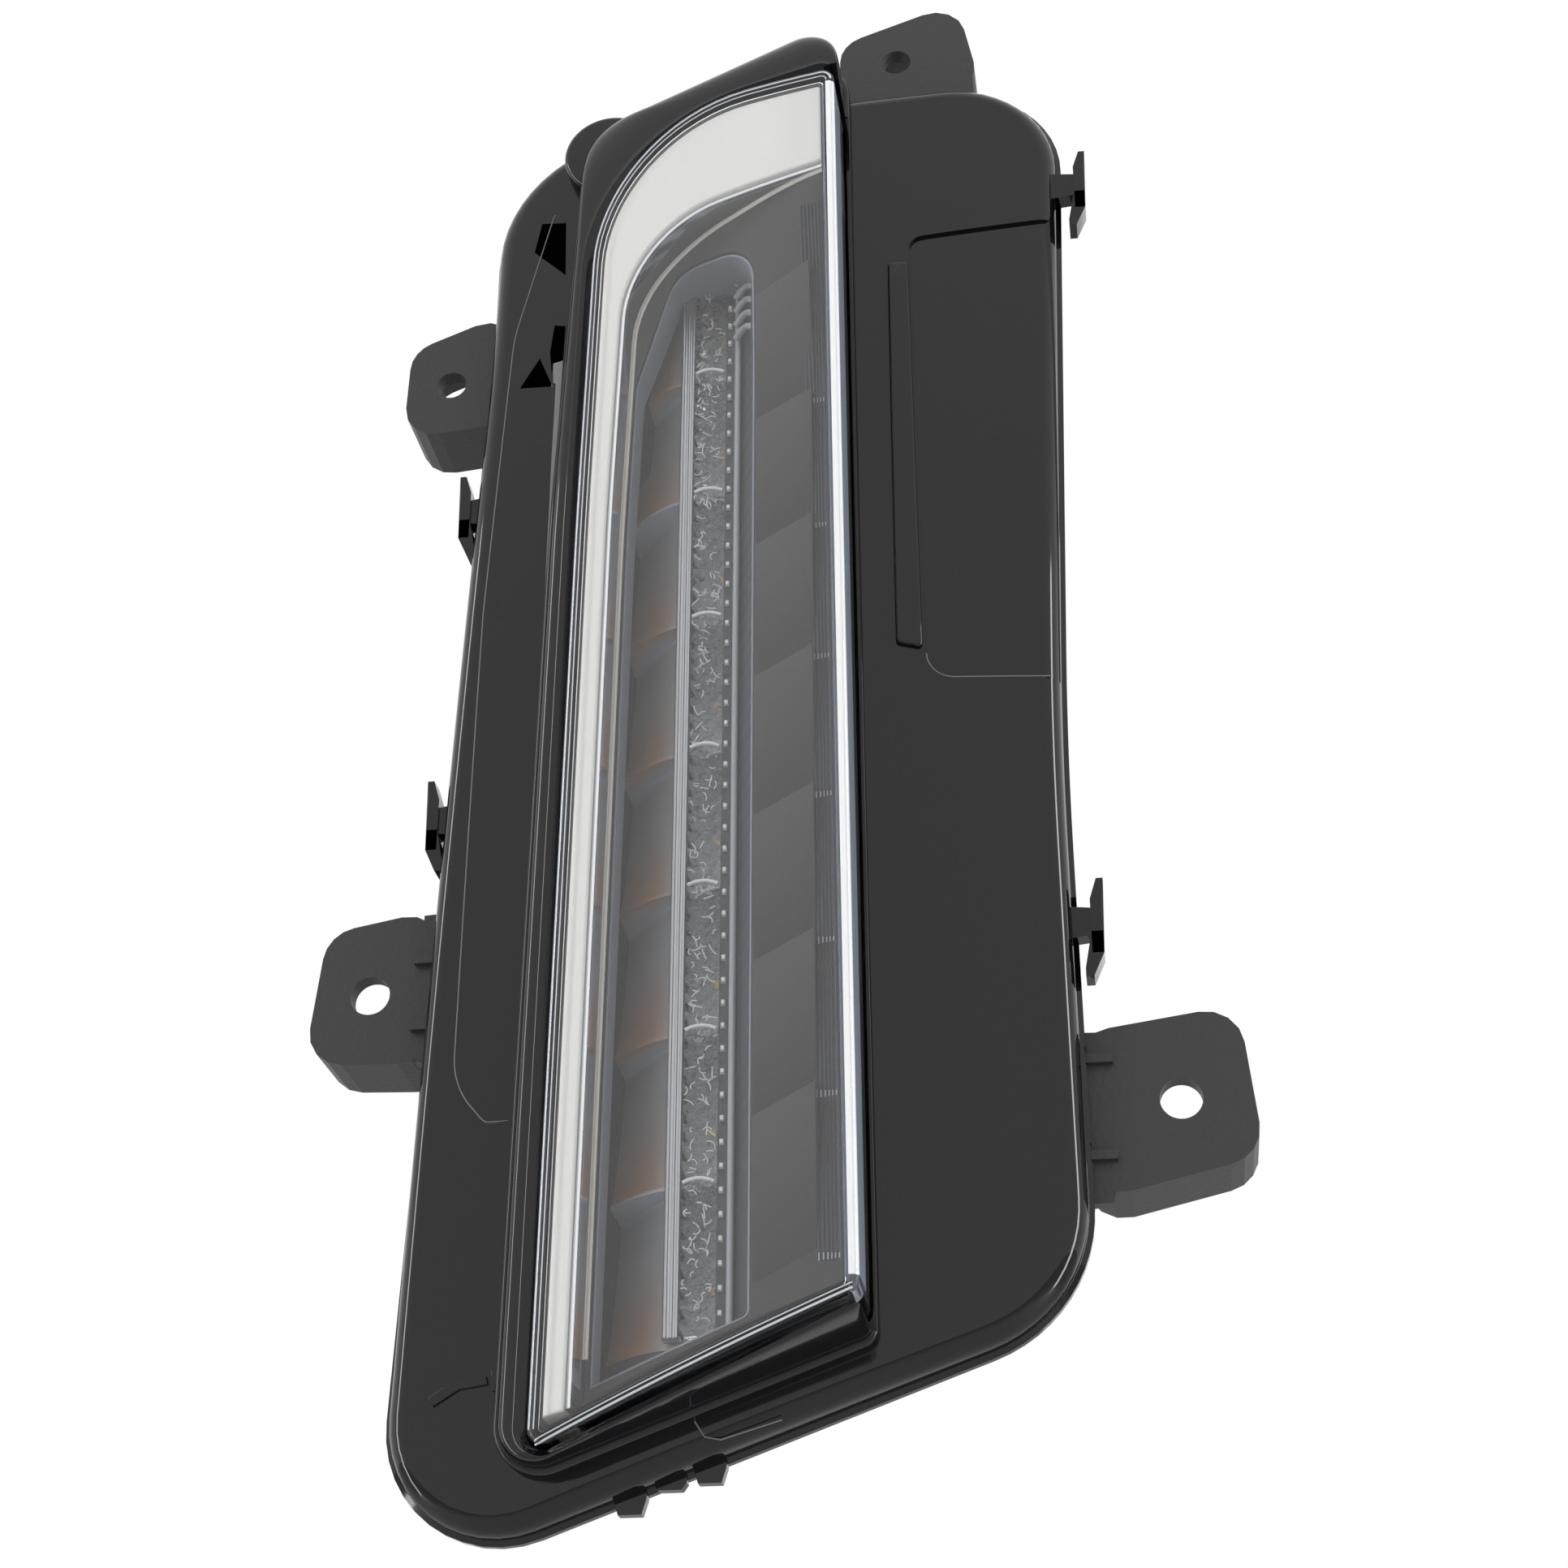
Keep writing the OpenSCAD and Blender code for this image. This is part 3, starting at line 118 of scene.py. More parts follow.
def rounded(c, steps=14, straight=12):
    """An outline's points: each corner rounded, each straight edge cut into steps."""
    p = [np.array(q[:2], float) for q in c]
    n = len(c)
    arcs = [corner_arc(p[i - 1], p[i], p[(i + 1) % n], c[i][2], steps) for i in range(n)]
    out = []
    for i in range(n):
        a, b = arcs[i][-1], arcs[(i + 1) % n][0]
        out.append(arcs[i])
        out.append(a + (b - a) * (np.arange(1, straight) / straight)[:, None])
    return np.vstack(out)


def offset(points, d):
    """A closed anticlockwise line of points moved outwards by d."""
    p = np.asarray(points, float)

    def normals(u, v):
        e = v - u
        e /= np.maximum(np.linalg.norm(e, axis=1), 1e-9)[:, None]
        return np.stack([e[:, 1], -e[:, 0]], 1)

    n1, n2 = normals(np.roll(p, 1, 0), p), normals(p, np.roll(p, -1, 0))
    m = n1 + n2
    m /= np.maximum(np.linalg.norm(m, axis=1), 1e-9)[:, None]
    k = np.clip((m * n1).sum(1), 0.6, 1)
    return p + m * (d / k)[:, None]


def inside(points, loop):
    """Which points lie inside a closed line."""
    x, z = points[:, 0], points[:, 1]
    hit = np.zeros(len(points), bool)
    a, b = np.asarray(loop), np.roll(loop, -1, 0)
    for (x0, z0), (x1, z1) in zip(a, b):
        if z0 != z1:
            hit ^= ((z0 > z) != (z1 > z)) & (x < (x1 - x0) * (z - z0) / (z1 - z0) + x0)
    return hit


def between(a, b, count):
    """Points on the straight line from a to b."""
    a, b = np.array(a, float), np.array(b, float)
    return a + (b - a) * np.linspace(0, 1, count)[:, None]


def band(outer, inner):
    """The closed line round the band between two paths that run the same way."""
    return np.vstack([outer, inner[::-1]])


def circle(centre, r, sides):
    t = 2 * math.pi * np.arange(sides) / sides
    return np.stack([centre[0] + r * np.cos(t), centre[1] + r * np.sin(t)], 1)


def quarter(steps):
    """Angles from 0 to a right angle."""
    return [math.pi / 2 * k / steps for k in range(steps + 1)]


def edge_x(outline, z):
    """Where an outline's right edge lies at the height z."""
    a, b = outline[0], outline[1]
    return a[0] + (b[0] - a[0]) * (z - a[1]) / (b[1] - a[1])


# Surfaces
BEZEL_MID_X, BEZEL_MID_Z, BEZEL_HALF_W, BEZEL_HALF_H = -9.0, 15.25, 58.0, 144.75
CROWN_ACROSS, CROWN_ALONG = 3, 3.6


def crown(x, z):
    """Depth of the surround's face, which falls back towards its sides and its ends."""
    across, along = (x - BEZEL_MID_X) / BEZEL_HALF_W, (z - BEZEL_MID_Z) / BEZEL_HALF_H
    return CROWN_ACROSS * across ** 2 + CROWN_ALONG * along ** 2


# The lens face is an arc on a chord that comes forward from left to right
FACE_LEFT_X, FACE_LEFT_Y = -40, -6
FACE_W, FACE_RISE, FACE_BULGE = 54, 11.5, 2
FACE_CHORD = math.hypot(FACE_W, FACE_RISE)
FACE_R = FACE_CHORD ** 2 / (8 * FACE_BULGE) + FACE_BULGE / 2
FACE_LEAN = math.atan2(FACE_RISE, FACE_W)
FACE_MID_X, FACE_MID_Y = FACE_LEFT_X + FACE_W / 2, FACE_LEFT_Y - FACE_RISE / 2
FACE_X = FACE_MID_X + (FACE_R - FACE_BULGE) * math.sin(FACE_LEAN)
FACE_Y = FACE_MID_Y + (FACE_R - FACE_BULGE) * math.cos(FACE_LEAN)


def face(x, back=0.0):
    """Depth of the lens face, moved back."""
    return FACE_Y - np.sqrt((FACE_R - back) ** 2 - (np.asarray(x, float) - FACE_X) ** 2)


def lens_face(x):
    """Depth of the lens face without its bulge."""
    return FACE_LEFT_Y - FACE_RISE * (np.asarray(x, float) - FACE_LEFT_X) / FACE_W


def lens_right(z):
    """The lens's right edge."""
    return edge_x(LENS, z)


def behind(surface, distance):
    """A surface's depth function, moved back."""
    return lambda x, z: surface(x, z) + distance


def lens_behind(distance):
    """The lens face's depth function, moved back along its radius."""
    return lambda x, z: face(x, distance)


def flat(y):
    """The depth function of an upright plane."""
    return lambda x, z: 0 * x + y


# Meshes
def linked(name, mesh):
    obj = bpy.data.objects.new(name, mesh)
    bpy.context.scene.collection.objects.link(obj)
    return obj


def raw(name, verts, faces):
    mesh = bpy.data.meshes.new(name)
    mesh.from_pydata([tuple(map(float, v)) for v in verts], [], faces)
    mesh.validate()
    mesh.update()
    return linked(name, mesh)


def ring(points, y):
    """A ring in space from an outline's points and one depth, or one for each point."""
    p = np.asarray(points)
    return np.stack([p[:, 0], np.broadcast_to(y, len(p)), p[:, 1]], 1)


def on_surface(points, depth):
    """A path in space from points on a surface."""
    p = np.asarray(points, float)
    return ring(p, depth(p[:, 0], p[:, 1]))


def loft(name, rings):
    """A solid through rings of equal length that run from back to front."""
    n = len(rings[0])
    faces = []
    for k in range(len(rings) - 1):
        for i in range(n):
            a, b = k * n + i, k * n + (i + 1) % n
            faces.append((a, b, b + n, a + n))
    last = (len(rings) - 1) * n
    faces.append(tuple(range(n - 1, -1, -1)))
    faces.append(tuple(last + i for i in range(n)))
    return raw(name, np.vstack(rings), faces)


def slab(name, points, y0, y1):
    """A solid with one outline, from the depth y0 to y1."""
    return loft(name, [ring(points, y1), ring(points, y0)])


def boolean(obj, tool, operation="DIFFERENCE"):
    """Cuts one shell with another, or adds it, and removes the tool."""
    mod = obj.modifiers.new("boolean", "BOOLEAN")
    mod.operation, mod.solver, mod.object = operation, "EXACT", tool
    deps = bpy.context.evaluated_depsgraph_get()
    mesh = bpy.data.meshes.new_from_object(obj.evaluated_get(deps))
    obj.modifiers.clear()
    obj.data = mesh
    bpy.data.objects.remove(tool)
    return obj


def join(obj, *others):
    """Adds the others' shells to obj's mesh."""
    verts = [v.co.copy() for v in obj.data.vertices]
    faces = [tuple(p.vertices) for p in obj.data.polygons]
    for o in others:
        base = len(verts)
        verts += [v.co.copy() for v in o.data.vertices]
        faces += [tuple(base + i for i in p.vertices) for p in o.data.polygons]
        bpy.data.objects.remove(o)
    name = obj.name
    bpy.data.objects.remove(obj)
    return raw(name, verts, faces)


def fill(loops, step):
    """Triangles between outlines, the first the outer one, with points inside for curvature.

    Gives the points, the triangles and, for each outline, its points' places among the points."""
    corners = np.vstack(loops)
    edges, base = [], 0
    for loop in loops:
        n = len(loop)
        edges += [(base + i, base + (i + 1) % n) for i in range(n)]
        base += n
    lo, hi = loops[0].min(0), loops[0].max(0)
    gx, gz = np.meshgrid(np.arange(lo[0], hi[0], step[0]), np.arange(lo[1], hi[1], step[1]))
    gx = gx + (np.arange(len(gx)) % 2)[:, None] * step[0] / 2
    off_lines, margin = 0.0137, 0.35 * min(step)
    grid = np.stack([gx.ravel(), gz.ravel()], 1) + off_lines
    keep = inside(grid, offset(loops[0], -margin))
    for loop in loops[1:]:
        keep &= ~inside(grid, offset(loop, margin))
    pts = np.vstack([corners, grid[keep]])
    out = delaunay_2d_cdt([Vector(p) for p in pts], edges, [], 0, 1e-7)
    verts = np.array([tuple(v) for v in out[0]])
    tris = np.array([f for f in out[2] if len(f) == 3])
    mid = verts[tris].mean(1)
    good = inside(mid, loops[0])
    for loop in loops[1:]:
        good &= ~inside(mid, loop)
    place = {}
    for j, origins in enumerate(out[3]):
        for i in origins:
            place.setdefault(i, j)
    rims, base = [], 0
    for loop in loops:
        rims.append([place[base + i] for i in range(len(loop))])
        base += len(loop)
    return verts, [tuple(t) for t in tris[good]], rims


def walls(a, b, sign):
    """The faces between two rims, turned the other way round a hole."""
    n = len(a)
    quads = [(a[i], a[(i + 1) % n], b[(i + 1) % n], b[i]) for i in range(n)]
    return quads if sign > 0 else [tuple(reversed(q)) for q in quads]


def plate(name, outer, front, back, edge=0.3, step=(3, 3), holes=()):
    """A closed plate between two depth functions of x and z, with a rounded front edge."""
    loops = [np.asarray(outer, float)] + [np.asarray(h, float) for h in holes]
    small = [offset(loops[0], -edge)] + [offset(h, edge) for h in loops[1:]]
    verts, tris, rims = fill(small, step)
    points = [on_surface(verts, front)]
    faces = list(tris)
    count = len(verts)
    back_verts, back_tris, back_rims = fill(loops, (max(step) * 3, max(step) * 3))
    points.append(on_surface(back_verts, back))
    faces += [tuple(count + i for i in reversed(t)) for t in back_tris]
    back_rims = [[count + i for i in rim] for rim in back_rims]
    count += len(back_verts)
    for k, loop in enumerate(loops):
        n = len(loop)
        sign = 1 if k == 0 else -1
        previous = back_rims[k]
        for a in (0, 30, 60):
            t = math.radians(a)
            p = offset(loop, -sign * edge * (1 - math.cos(t)))
            points.append(on_surface(p, behind(front, edge * (1 - math.sin(t)))))
            current = list(range(count, count + n))
            count += n
            faces += walls(previous, current, sign)
            previous = current
        faces += walls(previous, rims[k], sign)
    return raw(name, np.vstack(points), faces)


def relief(name, front, rear):
    """A closed solid between two grids of points, each a list of rows that run left to right."""
    m, n = len(front), len(front[0])
    quads = [(j * n + i, j * n + i + 1, (j + 1) * n + i + 1, (j + 1) * n + i)
             for j in range(m - 1) for i in range(n - 1)]
    faces = quads + [tuple(n * m + q for q in reversed(quad)) for quad in quads]
    loop = (list(range(n)) + [j * n + n - 1 for j in range(1, m)]
            + [(m - 1) * n + i for i in range(n - 2, -1, -1)] + [j * n for j in range(m - 2, 0, -1)])
    faces += [(b, a, a + n * m, b + n * m) for a, b in zip(loop, loop[1:] + loop[:1])]
    return raw(name, [p for row in front for p in row] + [p for row in rear for p in row], faces)


def tube(name, path, r, sides=10):
    """A closed round rod along a path of points in space."""
    path = np.asarray(path, float)
    rings = []
    for i, p in enumerate(path):
        t = unit(path[min(i + 1, len(path) - 1)] - path[max(i - 1, 0)])
        side = unit(np.cross(t, [0, 1, 0]))
        up = np.cross(side, t)
        a = 2 * math.pi * np.arange(sides) / sides
        rings.append(p + r * (np.cos(a)[:, None] * side + np.sin(a)[:, None] * up))
    return loft(name, rings)


def box(name, a, b):
    """A box between two corners."""
    x0, y0, z0, x1, y1, z1 = *a, *b
    return slab(name, np.array([[x1, z0], [x1, z1], [x0, z1], [x0, z0]], float), y0, y1)


def rod(name, p, r, y0, y1, sides=40):
    return slab(name, circle(p, r, sides), y0, y1)


def shade_from(mesh, surface):
    """Takes the shading of a mesh's smooth faces from the surface that they follow, so that the
    triangles don't show in a reflection."""
    points = np.zeros(len(mesh.vertices) * 3)
    mesh.vertices.foreach_get("co", points)
    points = points.reshape(-1, 3)
    x, y, z = points[:, 0], points[:, 1], points[:, 2]
    h = 0.05
    nx = (surface(x + h, z) - surface(x - h, z)) / (2 * h)
    nz = (surface(x, z + h) - surface(x, z - h)) / (2 * h)
    normals = np.stack([nx, -np.ones_like(nx), nz], 1)
    normals /= np.linalg.norm(normals, axis=1)[:, None]
    on = np.zeros(len(points), bool)
    for sink in (0.0, PANEL_SINK, DROP_SINK):
        on |= np.abs(y - surface(x, z) - sink) < 0.03
    custom = [(0.0, 0.0, 0.0)] * len(mesh.loops)
    for polygon in mesh.polygons:
        facing = np.array(polygon.normal)
        for i in polygon.loop_indices:
            v = mesh.loops[i].vertex_index
            if on[v] and facing @ normals[v] > 0.97:
                custom[i] = tuple(normals[v])
    mesh.normals_split_custom_set(custom)


def done(obj, look, sharp=30, surface=None):
    """Moves a piece to the part's frame, with its shading, its material and its body.

    surface is the depth function that the piece's smooth face follows, where it has one."""
    mesh = obj.data
    mesh.shade_smooth()
    mesh.set_sharp_from_angle(angle=math.radians(sharp))
    if surface:
        shade_from(mesh, surface)
    mesh.transform(TO_ROW)
    mesh.materials.clear()
    mesh.materials.append(look)
    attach(obj, "root")
    return obj


# Materials
def material(name, colour, rough, metal=0.0, grain=None, transmission=0.0, ior=1.5):
    mat = bpy.data.materials.new(name)
    mat.use_nodes = True
    tree = mat.node_tree
    bsdf = tree.nodes["Principled BSDF"]
    bsdf.inputs["Base Color"].default_value = (*colour, 1)
    bsdf.inputs["Roughness"].default_value = rough
    bsdf.inputs["Metallic"].default_value = metal
    bsdf.inputs["Transmission Weight"].default_value = transmission
    bsdf.inputs["IOR"].default_value = ior
    if grain:
        scale, strength, depth = grain
        noise = tree.nodes.new("ShaderNodeTexNoise")
        noise.inputs["Scale"].default_value = scale
        noise.inputs["Detail"].default_value = 3
        coords = tree.nodes.new("ShaderNodeTexCoord")
        bump = tree.nodes.new("ShaderNodeBump")
        bump.inputs["Strength"].default_value = strength
        bump.inputs["Distance"].default_value = depth
        tree.links.new(coords.outputs["Object"], noise.inputs["Vector"])
        tree.links.new(noise.outputs["Fac"], bump.inputs["Height"])
        tree.links.new(bump.outputs["Normal"], bsdf.inputs["Normal"])
    return mat


def tint(obj, colour):
    """A colour for each point, from a function of x and z."""
    layer = obj.data.color_attributes.new("tint", "FLOAT_COLOR", "POINT")
    for v, place in zip(obj.data.vertices, layer.data):
        place.color = (*colour(v.co.x, v.co.z), 1)
    return obj


def tinted(name, rough, ior=1.5):
    """A material that takes its colour from the mesh's points."""
    mat = material(name, (0.3, 0.3, 0.3), rough, ior=ior)
    tree = mat.node_tree
    node = tree.nodes.new("ShaderNodeAttribute")
    node.attribute_name = "tint"
    tree.links.new(node.outputs["Color"], tree.nodes["Principled BSDF"].inputs["Base Color"])
    return mat


def clear(name, colour, rough, ior):
    """A clear plastic that lets lamp light through to what lies behind it."""
    mat = material(name, colour, rough, transmission=1.0, ior=ior)
    tree = mat.node_tree
    out = tree.nodes["Material Output"]
    bsdf = tree.nodes["Principled BSDF"]
    mix = tree.nodes.new("ShaderNodeMixShader")
    path = tree.nodes.new("ShaderNodeLightPath")
    through = tree.nodes.new("ShaderNodeBsdfTransparent")
    through.inputs["Color"].default_value = (0.9, 0.91, 0.92, 1)
    tree.links.new(path.outputs["Is Shadow Ray"], mix.inputs[0])
    tree.links.new(bsdf.outputs[0], mix.inputs[1])
    tree.links.new(through.outputs[0], mix.inputs[2])
    tree.links.new(mix.outputs[0], out.inputs["Surface"])
    return mat


GLOSS = material("gloss_black", (0.004, 0.004, 0.005), 0.06, ior=1.46)
HOUSING = material("grained_black", (0.032, 0.032, 0.034), 0.5, grain=(900, 0.5, 0.0002))
CLEAR_COVER = clear("clear_cover", (1, 1, 1), 0.0, 1.5)
CLEAR_OPTIC = clear("clear_optic", (0.96, 0.97, 0.99), 0.06, 1.45)
WHITE = material("pearl_white", (0.76, 0.755, 0.73), 0.28)
CHROME = material("bright_coat", (0.85, 0.86, 0.88), 0.12, metal=1.0)
COAT = material("reflector_coat", (0.50, 0.51, 0.53), 0.3, metal=1.0)
INNER = material("inner_dark", (0.045, 0.045, 0.047), 0.34, ior=1.3)
INNER_BAND = material("inner_band", (0.045, 0.052, 0.065), 0.3, ior=1.35)
# A white for painted highlights: the optic's arcs and dots and the line in the lens's right wall
PAINTED_HIGHLIGHT = material("white_painted_highlight", (0.9, 0.9, 0.9), 0.2)

# Surround
SURROUND_BACK = 11.4
PAST_BACK = SURROUND_BACK + 1
SURROUND_T = 2.4
SKIRT_BEND = 3.4
SPINE_LOW, SPINE_HIGH = -74.5, 115


def bezel_body(name, inset, back, shift=0.0, bead=((0, 0),)):
    """The surround as a full body, smaller all round by inset, its face moved back by shift.

    bead gives the rings at the skirt's foot, each as how far out and how far up it lies."""
    arc, straight = 12, 10
    outline = grown(BEZEL, -inset)
    rings = [ring(rounded(grown(outline, out), arc, straight), back - up) for out, up in bead]
    for t in quarter(7):
        p = rounded(grown(outline, -SKIRT_BEND * (1 - math.cos(t))), arc, straight)
        rings.append(ring(p, crown(p[:, 0], p[:, 1]) + inset + SKIRT_BEND * (1 - math.sin(t)) + shift))
    inner = rounded(grown(outline, -SKIRT_BEND), arc, straight)
    spine_z = np.clip(inner[:, 1], SPINE_LOW, SPINE_HIGH)
    spine = np.stack([np.full(len(inner), BEZEL_MID_X), spine_z], 1)
    for t in np.linspace(0.06, 0.96, 14):
        p = inner + (spine - inner) * t
        rings.append(ring(p, crown(p[:, 0], p[:, 1]) + inset + shift))
    return loft(name, rings)


RIM_Y = -0.6
RIM_ROUND = 0.9
RIM_FALL = 6.5
RIM_BEHIND = 0.8
RIM_SHARES = (0.02, 0.05, 0.09, 0.14, 0.2, 0.28, 0.38, 0.5, 0.65, 0.8, 0.93, 1)
RIM_LIP = ((0.9, 0.68), (0.78, 0.85), (0.5, 1.5), (0.1, 2.0))


def rim_body():
    """The raised rim: a rounded outer edge, a slope that rises to a crease beside the lens, and a
    lip from there down to the lens."""
    arc, straight = 16, 14
    rings = [ring(rounded(BROW, arc, straight), SURROUND_BACK)]
    for t in quarter(5):
        p = rounded(grown(BROW, -RIM_ROUND * (1 - math.cos(t))), arc, straight)
        rings.append(ring(p, RIM_Y + RIM_ROUND * (1 - math.sin(t))))
    outer = rounded(grown(BROW, -RIM_ROUND), arc, straight)
    inner = rounded(grown(LENS, CREASE_OUT), arc, straight)
    for share in RIM_SHARES:
        p = outer + (inner - outer) * share
        y = lens_face(p[:, 0]) + RIM_BEHIND
        left = math.exp(-RIM_FALL * share) - share * math.exp(-RIM_FALL)
        rings.append(ring(p, y + (RIM_Y - y) * left))
    for share, sunk in RIM_LIP:
        p = rounded(grown(LENS, [c * share for c in CREASE_OUT]), arc, straight)
        rings.append(ring(p, lens_face(p[:, 0]) + sunk))
    return loft("rim", rings)


EAR_R, EAR_ROUND, EAR_Y = 9.4, 1.3, 0.1


def ear():
    """The round lug at the rim's upper left corner."""
    profile = [(EAR_R, SURROUND_BACK)]
    for t in np.linspace(0, math.pi / 2, 6):
        profile.append((EAR_R - EAR_ROUND * (1 - math.cos(t)), EAR_Y - EAR_ROUND * math.sin(t)))
    return loft("ear", [ring(circle(EAR, r, 56), y) for r, y in profile])


FLUTES = ((2.3, 1.1), (4.4, 0.9))


def flute(distance, r):
    """A shallow groove that runs beside the lens, and swings away from it near the top."""
    t = 2 * math.pi * np.arange(20) / 20
    rings = []
    for z in np.linspace(-52, 150, 30):
        x = lens_right(z) + distance + 1.2 * max(0, (z - 90) / 60) ** 2
        low = max(0.0, (-20 - z) / 32)
        y = crown(x, z) - r * 0.55 - low * 0.6
        rings.append(np.stack([x + r * np.cos(t), y + r * np.sin(t), np.full(20, z)], 1))
    return loft("flute", rings[::-1])


# Three pits beside the brow, each a list of [x, z]
PITS = ([[-43.9, 117.2], [-44.4, 130.6], [-49.4, 131.2], [-50.6, 124]],
        [[-45.3, 90.2], [-48.2, 97.4], [-51.9, 90.7]],
        [[-43.6, 90.5], [-43.3, 104.5], [-45.6, 105], [-46.2, 98.5], [-45.4, 91]])
PIT_FLOOR, PIT_END = 4.3, 4.6

# Snap clips as (x, z, how far out), slits for the feet's webs as (x0, x1, z), and screw bosses as (x, z)
CLIPS = ((52.9, 130.5, 4.6), (48.6, -27.5, 4.2), (-59.7, 65, -2.6), (-62.1, -0.5, -2.6))
WEB_SLITS = ((43, 55, -49.6), (43, 55, -66.6), (-73, -61, -24.5), (-73, -61, -37.1))
BOSSES = ((38, -59), (-53.8, -29.5), (-50.4, 102), (29.6, 145))
BOSS_R = 3.6
WEB_HALF_T = 1.6
TAB_X, TAB_PITCH, TAB_Y = -25.9, 6.4, 9.8

# The gaps round the lens and round its foot, and the depth that the foot's room starts at
LENS_GAP, FOOT_GAP = 0.4, 3.9
FOOT_ROOM = 6.4


def hull_boxes(name, boxes):
    """The convex hull of boxes given as (centre, size)."""
    bm = bmesh.new()
    shares = [(i, j, k) for i in (-0.5, 0.5) for j in (-0.5, 0.5) for k in (-0.5, 0.5)]
    for centre, size in boxes:
        for share in shares:
            bm.verts.new([c + s * part for c, s, part in zip(centre, size, share)])
    hull = bmesh.ops.convex_hull(bm, input=bm.verts)
    stray = [v for v in hull["geom_interior"] if isinstance(v, bmesh.types.BMVert)]
    bmesh.ops.delete(bm, geom=stray, context="VERTS")
    mesh = bpy.data.meshes.new(name)
    bm.to_mesh(mesh)
    bm.free()
    return linked(name, mesh)


def snap_clip(x, z, reach):
    """A snap clip in three hulls: its arm, its upper jaw and its lower jaw."""
    side = math.copysign(1, reach)
    tip, y = x + reach, 8.4
    arm = [((x - side * 1.4, y, z + 1), (1, 3.4, 6)), ((tip - side, y, z + 1), (1, 3.4, 5))]
    upper = [((tip, y, z), (2, 4.4, 10)), ((tip + side * 0.8, y, z + 8.5), (1.2, 3.6, 1))]
    lower = [((tip, y, z - 3), (2, 4.4, 4)), ((tip - side * 1.6, y, z - 8.5), (1.4, 4.4, 1.4))]
    return [hull_boxes("clip", boxes) for boxes in (arm, upper, lower)]


def locating_tab(k):
    """One of the three tabs under the skirt's lower edge. The middle one is shorter."""
    x = TAB_X + TAB_PITCH * k
    z = -129.5 + 0.36 * (x + 40) + 3.4
    fall = 0.6 if k == 1 else 2
    return hull_boxes("tab", [((x, TAB_Y, z + 1), (5.4, 2.2, 2)), ((x, TAB_Y, z - fall), (3.8, 2.2, 1))])


def skin():
    """The surround's moulding: face, rim and ear, hollow behind, with its clips, tabs and bosses."""
    body = bezel_body("surround", 0, SURROUND_BACK, bead=((0.9, 0), (0.9, 1.5), (0, 2.1)))
    for outline, sink in ((PANEL, PANEL_SINK), (DROP, DROP_SINK)):
        tool = slab("tool", rounded(outline, 8, 2), -6, 6)
        boolean(tool, bezel_body("lower", 0, SURROUND_BACK, sink))
        boolean(body, tool)
    for distance, r in FLUTES:
        boolean(body, flute(distance, r))
    rim = boolean(rim_body(), ear(), "UNION")
    # Right of the lens the rim stays under the face
    right_side = np.array([[42, -98], [42, 147.6], [10, 147.6], [12, -98]], float)
    boolean(rim, slab("tool", right_side, -40, -0.3))
    boolean(body, rim, "UNION")
    boolean(body, bezel_body("hollow", SURROUND_T, PAST_BACK))
    boolean(body, slab("tool", rounded(grown(BROW, -SURROUND_T), 8, 4), FOOT_ROOM, PAST_BACK))
    boolean(body, slab("tool", rounded(grown(LENS, FOOT_GAP), 8, 4), FOOT_ROOM, PAST_BACK))
    boolean(body, rod("tool", EAR, EAR_R - SURROUND_T, FOOT_ROOM, PAST_BACK))
    boolean(body, slab("tool", rounded(grown(LENS, LENS_GAP), 12, 10), -40, 40))
    boolean(body, box("tool", (45, FOOT_ROOM, -69), (53, 8.8, -47.6)))
    for x0, x1, z in WEB_SLITS:
        boolean(body, box("tool", (x0, 9.8, z - WEB_HALF_T), (x1, 13.4, z + WEB_HALF_T)))
    for points in PITS:
        boolean(body, slab("tool", np.array(points, float), -4, PIT_END))
    extras = []
    for x, z, reach in CLIPS:
        extras += snap_clip(x, z, reach)
    extras += [locating_tab(k) for k in range(3)]
    extras += [rod("boss", p, BOSS_R, float(crown(*p)) + 1.2, 12.3, 24) for p in BOSSES]
    return join(body, *extras)


surround = done(skin(), GLOSS, 32, crown)
surround.name = "surround"
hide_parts("bezel")

SIDE_BAR = [[24.9, 25.8, 0.8], [23.9, 112.5, 0.8], [19.9, 112.5, 0.8], [20.1, 27, 0.8]]
side_bar = plate("side_bar", rounded(SIDE_BAR, 4, 20), behind(crown, -0.9), behind(crown, 1.6), 0.5,
                 (1.5, 5))
done(side_bar, GLOSS, 40)

# Pit floors in a black that reflects nothing: painted shade for the dark inside each pit
floors = [slab("pit_floor", np.array(points, float), PIT_FLOOR, 4.8) for points in PITS]
done(join(*floors), material("pit_floor_painted_shade", (0.001, 0.001, 0.001), 1.0, ior=1.01), 40)

# The two small catches at the surround's lower left
CATCHES = ([[-57.7, -106.3], [-53.4, -103.8], [-48.6, -103.3], [-48.9, -101.9], [-54.3, -102.1],
            [-58.6, -104.8]],
           [[-47.7, -104.4], [-45.3, -104.0], [-45.5, -100.3], [-48.2, -101.0]])
catches = [plate("catch", points, behind(crown, -0.5), behind(crown, 1.0), 0.15, (2, 2))
           for points in CATCHES]
done(join(*catches), GLOSS, 40)

# Lines of light along the surround's creases
CORNER_CREASE = [[-17.3, -103.7], [-15.7, -107.1], [-14.6, -110.6], [-13.0, -113.0], [-10.4, -113.5],
                 [-5.9, -112.2], [-0.7, -110.7]]


def crease(path, depth):
    return tube("crease", on_surface(path, depth), 0.13, 8)


def creases():
    drop = rounded(DROP, 14, 14)
    drop = drop[(drop[:, 0] < -46.5) & (drop[:, 1] > -64)]
    drop = drop[np.argsort(-drop[:, 1])]
    panel_edge = rounded(PANEL, 8, 10)
    panel_edge = panel_edge[(panel_edge[:, 1] < 26) & (panel_edge[:, 0] < 48)]
    return [crease(drop, behind(crown, -0.02)), crease(panel_edge, behind(crown, 0.05)),
            crease(CORNER_CREASE, behind(crown, 0.02))]


